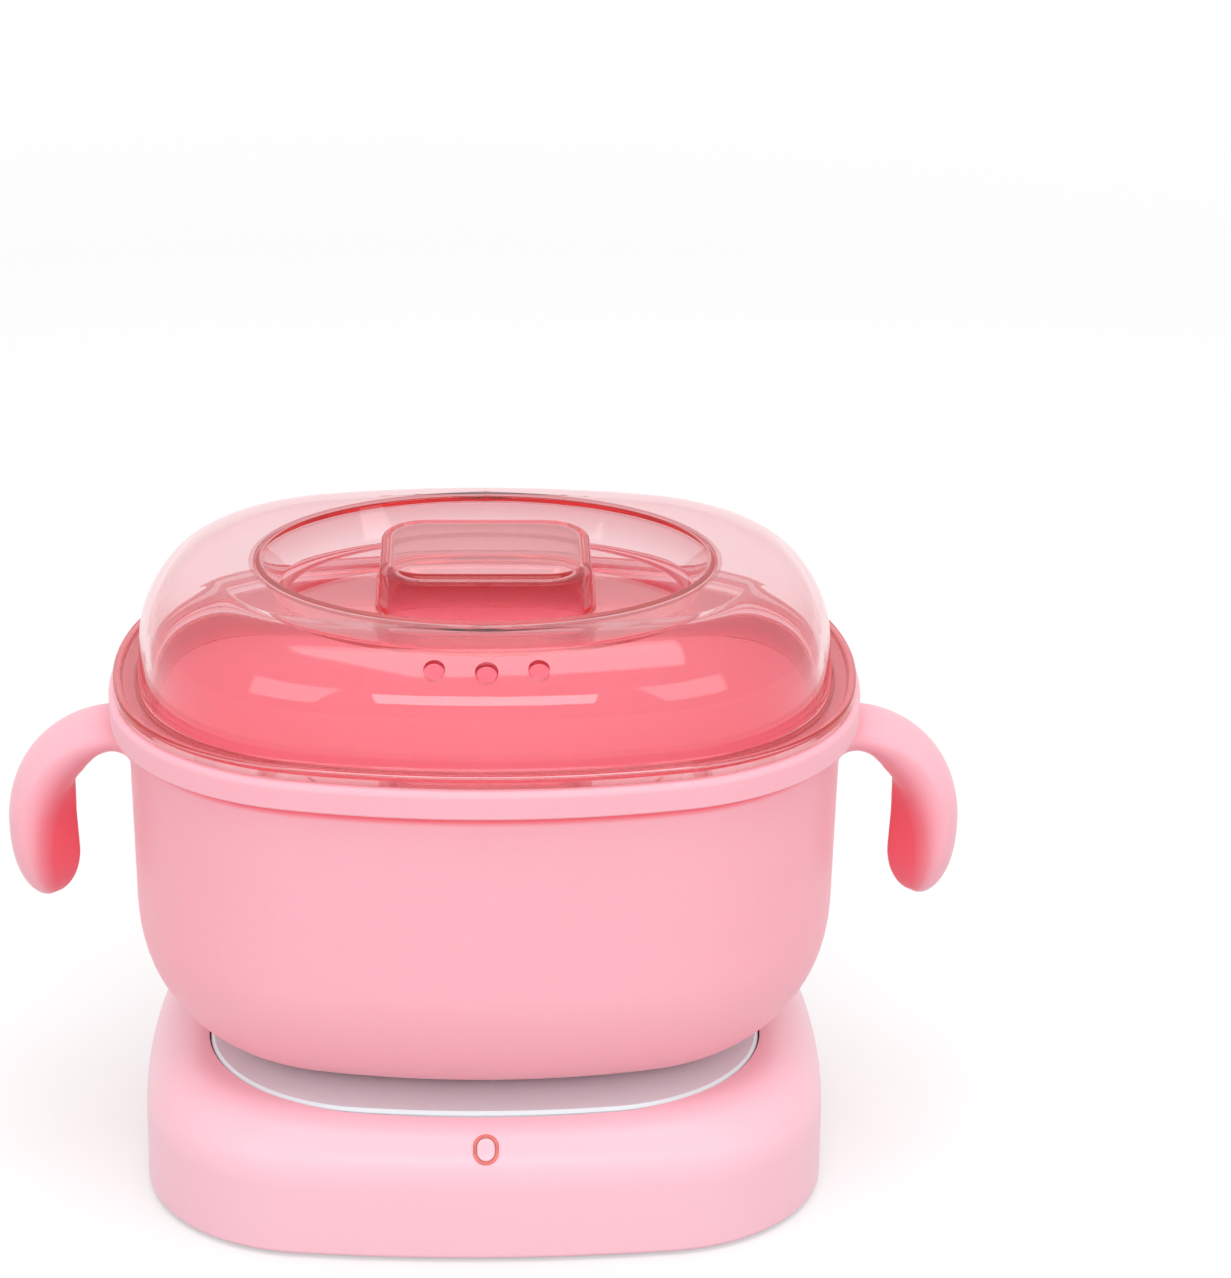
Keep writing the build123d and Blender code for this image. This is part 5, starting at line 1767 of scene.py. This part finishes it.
# -------------------- lid
@dataclass
class Lid:
    """The clear lid: skirt, beaded flange, dome, sunk dish and finger grip.

    Attributes:
        seat: Height of the flange's underside.
        edge: Inset of the flange's edge from the pot's rim.
        skirt: Inset of the skirt's outside.
        skirt_depth: How far the skirt reaches down.
        wall: Wall thickness.
        flange: Thickness of the flange.
        bead_w: Width of the bead along the flange's edge.
        bead_h: Height of the bead over the flange's underside.
        dome: Inset of the dome's foot.
        dome_h: Height of the dome.
        dome_draft: Lean of the dome's wall in degrees.
        dome_round: The dome's broad shoulder.
        dish: The dish's outline a millimetre over the dome's top.
        dish_depth: Depth of the dish.
        dish_draft: Lean of the dish's wall in degrees.
        grip: The finger grip's outline.
        grip_h: Height of the grip over the dish's floor.
        hole_r: Radius of a vent hole.
        hole_bevel: Width of the bevel round a vent hole.
        hole_pitch: Distance between the vent holes.
        hole_drop: How much lower the middle one sits.
        hole_angle: Lean of their axis from the vertical, in degrees.
        hole_reach: Where a cutter starts, widens, is fully wide and ends, along its axis.
        join: Width of the step between the bead and the dome's foot.
        foot_round: Fillet at the dome's foot.
        edge_ring: Height over the seat of the ring on the flange's straight edge.
        rounds: Fillets of the skirt's end, of the nooks, of the lower edges and of the bead.
        lip_rounds: Fillets of the dish's lip, outside and inside.
        heel_rounds: Fillets of the dish's floor, outside and inside.
        margins: How far each ring round the dish lies outside it along X and Y, and the strength of its
            painted edge shade.
        grip_draft: Lean of the grip's wall in degrees.
        grip_rounds: Fillets of the grip's foot and head.
        grip_flat: How far in from the grip's wall the last ring lies.
        grip_painted_shades: Strength of the painted edge shade low and high on the grip.
        grip_from: Share of the grip's height where the high one starts.
        foot_painted_shade: Strength of the painted edge shade at the dome's foot, and how far up it reaches.
        lip_painted_shades: Strength of the painted edge shade along the dish's lip, and how far down it
            fades.
        bead_painted_shade: Strength of the painted edge shade along the bead's and the flange's edges.
    """

    seat: float = 137.1
    edge: float = 1.2
    skirt: float = 8.5
    skirt_depth: float = 8.5
    wall: float = 2.2
    flange: float = 2.0
    bead_w: float = 2.4
    bead_h: float = 3.3
    dome: float = 7.5
    dome_h: float = 33.0
    dome_draft: float = 4.0
    dome_round: float = 21.0
    dish: Oval = Oval(60.0, 48.0)
    dish_depth: float = 10.0
    dish_draft: float = 28.0
    grip: SoftRectangle = SoftRectangle(28.5, 23.5, 2500.0, 2500.0, 13.0)
    grip_h: float = 12.6
    hole_r: float = 2.6
    hole_bevel: float = 0.45
    hole_pitch: float = 13.2
    hole_drop: float = 1.0
    hole_angle: float = 44.0
    hole_reach: tuple[float, float, float, float] = (-6.0, -0.5, 0.1, 4.0)
    join: float = 0.9
    foot_round: float = 1.1
    edge_ring: float = 1.6
    rounds: tuple[float, float, float, float] = (0.6, 0.5, 0.4, 0.7)
    lip_rounds: tuple[float, float] = (0.8, 1.6)
    heel_rounds: tuple[float, float] = (3.5, 5.2)
    margins: tuple[Corner, ...] = ((2.0, 3.8, 0.0), (1.4, 3.0, 0.85))
    grip_draft: float = 4.0
    grip_rounds: tuple[float, float] = (0.9, 2.2)
    grip_flat: float = 6.0
    grip_painted_shades: tuple[float, float] = (0.12, 0.75)
    grip_from: float = 0.6
    foot_painted_shade: tuple[float, float] = (0.6, 0.6)
    lip_painted_shades: tuple[float, float] = (0.6, 1.6)
    bead_painted_shade: float = 0.5

    @property
    def top(self) -> float:
        """Height of the dome's top."""
        return self.seat + self.dome_h

    @property
    def dish_floor(self) -> float:
        """Height of the dish's floor."""
        return self.top - self.dish_depth

    def dome_wall(self, z: float, inset: float) -> float:
        """The dome wall's inset at a height."""
        return inset + (z - self.seat) * math.tan(math.radians(self.dome_draft))

    def dish_cut(self, z: float) -> float:
        """How much narrower the dish is at a height than at its outline."""
        return (self.top + 1 - z) * math.tan(math.radians(self.dish_draft))

    def side(self, shell: Shell, thick: float) -> list[int]:
        """Lays the rings of one side of the wall from the dome's foot to the middle of the grip.

        Args:
            shell: The shell that they go into.
            thick: 0 for the outside, the wall thickness for the inside.

        Returns:
            The rings' first indices.
        """
        inner = thick > 0
        top, floor = self.top - thick, self.dish_floor - thick
        grow = thick / math.cos(math.radians(self.dish_draft))
        foot = self.seat + (0.0 if inner else self.flange)
        foot_inset, shoulder = self.dome_wall(foot, self.dome + thick), self.dome_wall(top, self.dome + thick)
        start = [(foot_inset, foot, 0)] if inner else [
            (self.edge + self.bead_w + self.join, foot, 0), (foot_inset, foot, self.foot_round),
        ]
        dome = rounded([
            *start, (shoulder, top, self.dome_round - thick), (shoulder + FAR, top, 0),
        ], 4.5)[:-1]
        # Painted edge shade low on the dome's outside, at its foot.
        shade_paint, tint_h = self.foot_painted_shade
        rings = [
            shell.level(RIM_PLAN, RIM_TURNS, d, z, shade_paint if not inner and z < foot + tint_h else 0.0)
            for d, z in dome
        ]
        dish = Oval(self.dish.half_w + grow, self.dish.half_d + grow)
        lip, heel = self.dish_cut(top), self.dish_cut(floor)
        wall = rounded([
            (-FAR, top, 0), (lip, top, self.lip_rounds[inner]),
            (heel, floor, self.heel_rounds[inner]), (heel + FAR, floor, 0),
        ], 6.0)[1:-1]
        # Painted edge shade on the rings round the dish's lip and down into the dish.
        for reach_x, reach_y, depth in self.margins:
            margin = Oval(dish.half_w + reach_x, dish.half_d + reach_y)
            rings.append(shell.level(margin, RIM_TURNS, lip, top, depth))
        rings += [shell.level(dish, RIM_TURNS, d, z, self.lip_painted_shade(z - top)) for d, z in wall]
        head, lean = floor + self.grip_h, self.grip_h * math.tan(math.radians(self.grip_draft))
        grip = rounded([
            (thick - FAR, floor, 0), (thick, floor, self.grip_rounds[0]),
            (thick + lean, head, self.grip_rounds[1] - thick / 2), (thick + self.grip_flat, head, 0),
        ], 9.0)[1:]
        # Painted edge shade on the grip, stronger on its upper part.
        for d, z in grip:
            high = floor + self.grip_h * self.grip_from < z < head - SLACK / 2
            rings.append(shell.level(self.grip, RIM_TURNS, d, z, self.grip_painted_shades[high]))
        return rings

    def lip_painted_shade(self, rise: float) -> float:
        """Gives the strength of the painted edge shade along the dish's lip.

        Args:
            rise: Height over the lip's edge, below 0 down in the dish.

        Returns:
            The strength of the painted edge shade there.
        """
        full, fade = self.lip_painted_shades
        return float(np.clip(1 + rise / fade, 0.0, 1.0)) * full

    def body(self) -> bpy.types.Mesh:
        """Lofts the lid's closed wall without its holes.

        Returns:
            The lid's mesh.
        """
        shell = Shell(len(RIM_TURNS))
        low, bead_top = self.seat - self.skirt_depth, self.seat + self.bead_h
        skirt_mid, bead_end = self.skirt + self.wall / 2, self.edge + self.bead_w
        end, nook, edge, bead = self.rounds
        corners = [
            (skirt_mid, low, 0), (self.skirt, low, end), (self.skirt, self.seat, nook),
            (self.edge, self.seat, edge), (self.edge, self.seat + self.edge_ring, 0),
            (self.edge, bead_top, bead), (self.edge + self.bead_w / 2, bead_top, 0),
            (bead_end, bead_top, bead), (bead_end, self.seat + self.flange, nook),
            (bead_end + self.join, self.seat + self.flange, 0),
        ]
        rings = []
        for d, z in rounded(corners, 15.0)[:-1]:
            # Painted edge shade on the fillets of the flange and the bead.
            bent = any(r and math.hypot(d - x, z - y) < r + SLACK for x, y, r in corners[2:])
            rings.append(shell.level(RIM_PLAN, RIM_TURNS, d, z, self.bead_painted_shade if bent else 0.0))
        outer = self.side(shell, 0.0)
        shell.bridge(rings + outer)
        shell.pole(outer[-1], (0, 0, self.dish_floor + self.grip_h), first=False)
        inner = self.side(shell, self.wall)[::-1]
        shell.pole(inner[0], (0, 0, self.dish_floor + self.grip_h - self.wall), first=True)
        ledge = self.skirt + self.wall
        tail = rounded([
            (self.dome + self.wall, self.seat, 0), (ledge, self.seat, edge), (ledge, low, end),
            (skirt_mid, low, 0),
        ], 15.0)[1:-1]
        ends = [shell.level(RIM_PLAN, RIM_TURNS, d, z) for d, z in tail]
        shell.bridge(inner + ends + [rings[0]])
        return shell.mesh("lid_shell")

    def holes(self) -> bpy.types.Mesh:
        """Makes the three round cutters for the vent holes.

        Returns:
            One mesh with all three.
        """
        lean, draft = math.radians(self.hole_angle), math.radians(self.dome_draft)
        straight = (self.dome_h - self.dome_round) * math.tan(draft)
        foot_y = self.dome - RIM_PLAN.half_d + straight + self.dome_round / math.cos(draft)
        axis = np.array([0, -math.sin(lean), math.cos(lean)])
        upward = np.array([0, math.cos(lean), math.sin(lean)])
        centre = np.array([0, foot_y, self.top - self.dome_round]) + axis * self.dome_round
        count = 40
        shell = Shell(count)
        turn = np.linspace(0, 2 * math.pi, count, endpoint=False)[:, None]
        widths = (self.hole_r, self.hole_r, self.hole_r + self.hole_bevel, self.hole_r + self.hole_bevel)
        for x, drop in ((-self.hole_pitch, 0.0), (0.0, self.hole_drop), (self.hole_pitch, 0.0)):
            spot = centre + np.array([x, 0, 0]) - upward * drop
            circle = np.cos(turn) * np.array([[1.0, 0, 0]]) + np.sin(turn) * upward[None]
            rings = [
                shell.ring(spot + circle * width + axis * reach)
                for reach, width in zip(self.hole_reach, widths)
            ]
            shell.bridge(rings)
            shell.pole(rings[0], spot + axis * self.hole_reach[0], first=True)
            shell.pole(rings[-1], spot + axis * self.hole_reach[-1], first=False)
        return shell.mesh("vent_cutters")

    def build(self) -> None:
        """Makes the lid and cuts its vent holes."""
        mesh = cut(self.body(), self.holes(), "clear_lid_shell")
        place(mesh, CLEAR, "clear_lid", Body.LID, "lid")


def cut(mesh: bpy.types.Mesh, cutter: bpy.types.Mesh, name: str) -> bpy.types.Mesh:
    """Cuts one mesh out of another and keeps the smooth normals away from the cut. It carries the painted
    shade over and gives the cut walls the full painted edge shade.

    Args:
        mesh: The mesh to cut.
        cutter: What is taken away.
        name: Name of the result.

    Returns:
        The cut mesh.
    """
    whole, tool = bpy.data.objects.new("whole", mesh), bpy.data.objects.new("cutter", cutter)
    for item in (whole, tool):
        bpy.context.collection.objects.link(item)
    step = whole.modifiers.new("cut", "BOOLEAN")
    step.operation, step.object, step.solver = "DIFFERENCE", tool, "EXACT"
    graph = bpy.context.evaluated_depsgraph_get()
    result = bpy.data.meshes.new_from_object(whole.evaluated_get(graph))
    result.name = name
    tree = BVHTree.FromPolygons(
        [vertex.co for vertex in mesh.vertices], [tuple(face.vertices) for face in mesh.polygons]
    )
    smooth = [Vector(normal.vector) for normal in mesh.vertex_normals]
    # The depth attribute carries the painted shade; it is carried over to the cut mesh.
    painted_shade_levels = np.empty(len(mesh.vertices), np.float32)
    mesh.attributes["depth"].data.foreach_get("value", painted_shade_levels)
    normals: list[Vector] = []
    painted_shade_values: list[float] = []
    for face in result.polygons:
        for corner in face.vertices:
            spot, facing, index, _ = tree.find_nearest(result.vertices[corner].co)
            if facing is None or facing.dot(face.normal) < SAME_WAY:
                spot, facing, index, _ = tree.find_nearest(face.center)
            if facing is None or facing.dot(face.normal) < SAME_WAY:
                normals.append(face.normal.copy())
                # The cut walls get the full painted edge shade.
                painted_shade_values.append(1.0)
                continue
            near, here = mesh.polygons[index].vertices, result.vertices[corner].co
            weights = [1 / ((mesh.vertices[v].co - here).length + TINY) ** 2 for v in near]
            blend = sum((smooth[v] * w for v, w in zip(near, weights)), Vector((0, 0, 0)))
            normals.append(blend.normalized())
            painted_shade_values.append(float(sum(painted_shade_levels[v] * w for v, w in zip(near, weights)) / sum(weights)))
    old = result.attributes.get("depth")
    if old:
        result.attributes.remove(old)
    result.attributes.new("depth", "FLOAT", "CORNER").data.foreach_set("value", painted_shade_values)
    result.shade_smooth()
    result.normals_split_custom_set([tuple(normal) for normal in normals])
    for item in (whole, tool):
        bpy.data.objects.remove(item)
    return result


# -------------------- studio
@dataclass
class Studio:
    """Floor, soft light and camera.

    Attributes:
        lens: Focal length in millimetres on a 36 mm sensor.
        place: The camera's place in metres.
        forward: The direction in which the camera looks.
        upward: The camera's upward direction.
        floor_radius: Radius of the floor in metres.
        floor_shades: The floor's grey where it lights the piece, and where it is seen.
        glow: The floor's own light near the piece, and far from it.
        glow_span: Where that light starts to rise and where it is full, in metres.
        ambient: Strength of the light from all around.
        bounces: How often light may pass through or bounce inside the clear lid.
        aim: What the lamps point at.
        lamps: Each soft box's name, place, width and depth in metres, and power in watts.
    """

    lens: float = 112.35
    place: tuple[float, float, float] = (-0.0042, -0.9897, 0.5343)
    forward: tuple[float, float, float] = (0.0365, 0.9304, -0.3646)
    upward: tuple[float, float, float] = (0.0, 0.3649, 0.9311)
    floor_radius: float = 4.0
    floor_shades: tuple[float, float] = (0.55, 0.6)
    glow: tuple[float, float] = (0.375, 0.61)
    glow_span: tuple[float, float] = (0.9, 2.4)
    ambient: float = 0.78
    bounces: int = 28
    aim: Vector = field(default_factory=lambda: Vector((0.0, 0.0, 0.1)))
    lamps: tuple[tuple[str, Corner, tuple[float, float], float], ...] = (
        ("soft_box_left", (-1.1, -1.25, 0.82), (0.9, 0.7), 3.3),
        ("soft_box_right", (1.15, -1.2, 0.85), (0.95, 0.7), 3.3),
        ("soft_box_front", (0.0, -1.5, 0.8), (1.0, 0.36), 4.0),
        ("soft_box_top", (0.1, -0.3, 1.9), (1.3, 1.3), 11.0),
    )

    def camera(self) -> None:
        """Places the camera and makes it the scene's own."""
        data = bpy.data.cameras.new("camera")
        data.lens, data.sensor_width, data.clip_start = self.lens, 36.0, 0.01
        camera = bpy.data.objects.new("camera", data)
        bpy.context.collection.objects.link(camera)
        back = -Vector(self.forward).normalized()
        right = Vector(self.upward).cross(back).normalized()
        up = back.cross(right)
        turn = Matrix((right, up, back)).transposed().to_4x4()
        camera.matrix_world = Matrix.Translation(Vector(self.place)) @ turn
        bpy.context.scene.camera = camera

    def seen(self, wiring: Wiring) -> bpy.types.NodeSocket:
        """Tells whether a ray comes from the camera, a reflection or clear plastic.

        Args:
            wiring: The material's or the world's wiring.

        Returns:
            A socket that is 1 for such a ray.
        """
        path = wiring.node("ShaderNodeLightPath")
        shown = wiring.maths("MAXIMUM", path.outputs["Is Camera Ray"], path.outputs["Is Glossy Ray"])
        return wiring.maths("MAXIMUM", shown, path.outputs["Is Transmission Ray"])

    def world(self) -> None:
        """Makes the surroundings: white where seen, softer where they light the piece."""
        world = bpy.data.worlds.new("studio")
        bpy.context.scene.world = world
        world.use_nodes = True
        wiring = Wiring(world.node_tree)
        background = world.node_tree.nodes["Background"]
        background.inputs["Color"].default_value = (1, 1, 1, 1)
        strength = wiring.ramp(self.seen(wiring), 0.0, 1.0, self.ambient, 1.0)
        wiring.feed(strength, background.inputs["Strength"])

    def floor(self) -> None:
        """Lays a round white floor that keeps the shadow."""
        mesh = bpy.data.meshes.new("floor")
        count = 96
        radius = self.floor_radius
        turns = [2 * math.pi * step / count for step in range(count)]
        ring = [(radius * math.cos(turn), radius * math.sin(turn), 0.0) for turn in turns]
        mesh.from_pydata(ring, [], [tuple(range(count))])
        floor = bpy.data.objects.new("floor", mesh)
        bpy.context.collection.objects.link(floor)
        material = bpy.data.materials.new("studio_floor")
        material.use_nodes = True
        wiring = Wiring(material.node_tree)
        shader = material.node_tree.nodes["Principled BSDF"]
        shade = wiring.ramp(self.seen(wiring), 0.0, 1.0, *self.floor_shades)
        wiring.feed(shade, shader.inputs["Base Color"])
        shader.inputs["Roughness"].default_value = 0.9
        shader.inputs["Specular IOR Level"].default_value = 0.1
        glow = wiring.node("ShaderNodeEmission")
        lift = wiring.node("ShaderNodeAddShader")
        away = wiring.node("ShaderNodeVectorMath", operation="LENGTH")
        wiring.feed(wiring.node("ShaderNodeTexCoord").outputs["Object"], away.inputs[0])
        lift_far = wiring.ramp(away.outputs["Value"], *self.glow_span, *self.glow)
        wiring.feed(wiring.maths("MULTIPLY", self.seen(wiring), lift_far), glow.inputs["Strength"])
        wiring.feed(shader.outputs[0], lift.inputs[0])
        wiring.feed(glow.outputs[0], lift.inputs[1])
        wiring.feed(lift.outputs[0], material.node_tree.nodes["Material Output"].inputs["Surface"])
        mesh.materials.append(material)

    def lamp(self, name: str, place: Corner, size: tuple[float, float], watts: float) -> None:
        """Hangs a soft box.

        Args:
            name: The lamp's name.
            place: Where it hangs, in metres.
            size: Its width and depth in metres.
            watts: Its power.
        """
        data = bpy.data.lights.new(name, "AREA")
        data.shape, data.size, data.size_y, data.energy = "RECTANGLE", *size, watts
        lamp = bpy.data.objects.new(name, data)
        bpy.context.collection.objects.link(lamp)
        lamp.location = place
        lamp.rotation_euler = (self.aim - Vector(place)).to_track_quat("-Z", "Y").to_euler()

    def build(self) -> None:
        """Builds the whole studio."""
        self.camera()
        self.world()
        self.floor()
        for lamp in self.lamps:
            self.lamp(*lamp)
        scene = bpy.context.scene
        scene.view_settings.view_transform = "Standard"
        for limit in ("max_bounces", "transmission_bounces", "glossy_bounces"):
            setattr(scene.cycles, limit, self.bounces)


def main() -> None:
    """Builds the scene in order and notes its sizes."""
    logging.basicConfig(level=logging.INFO, format="%(message)s")
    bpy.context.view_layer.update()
    Studio().build()
    CarriedParts().dress()
    Base().build()
    Pot().build()
    Lid().build()


if __name__ == "__main__":
    main()
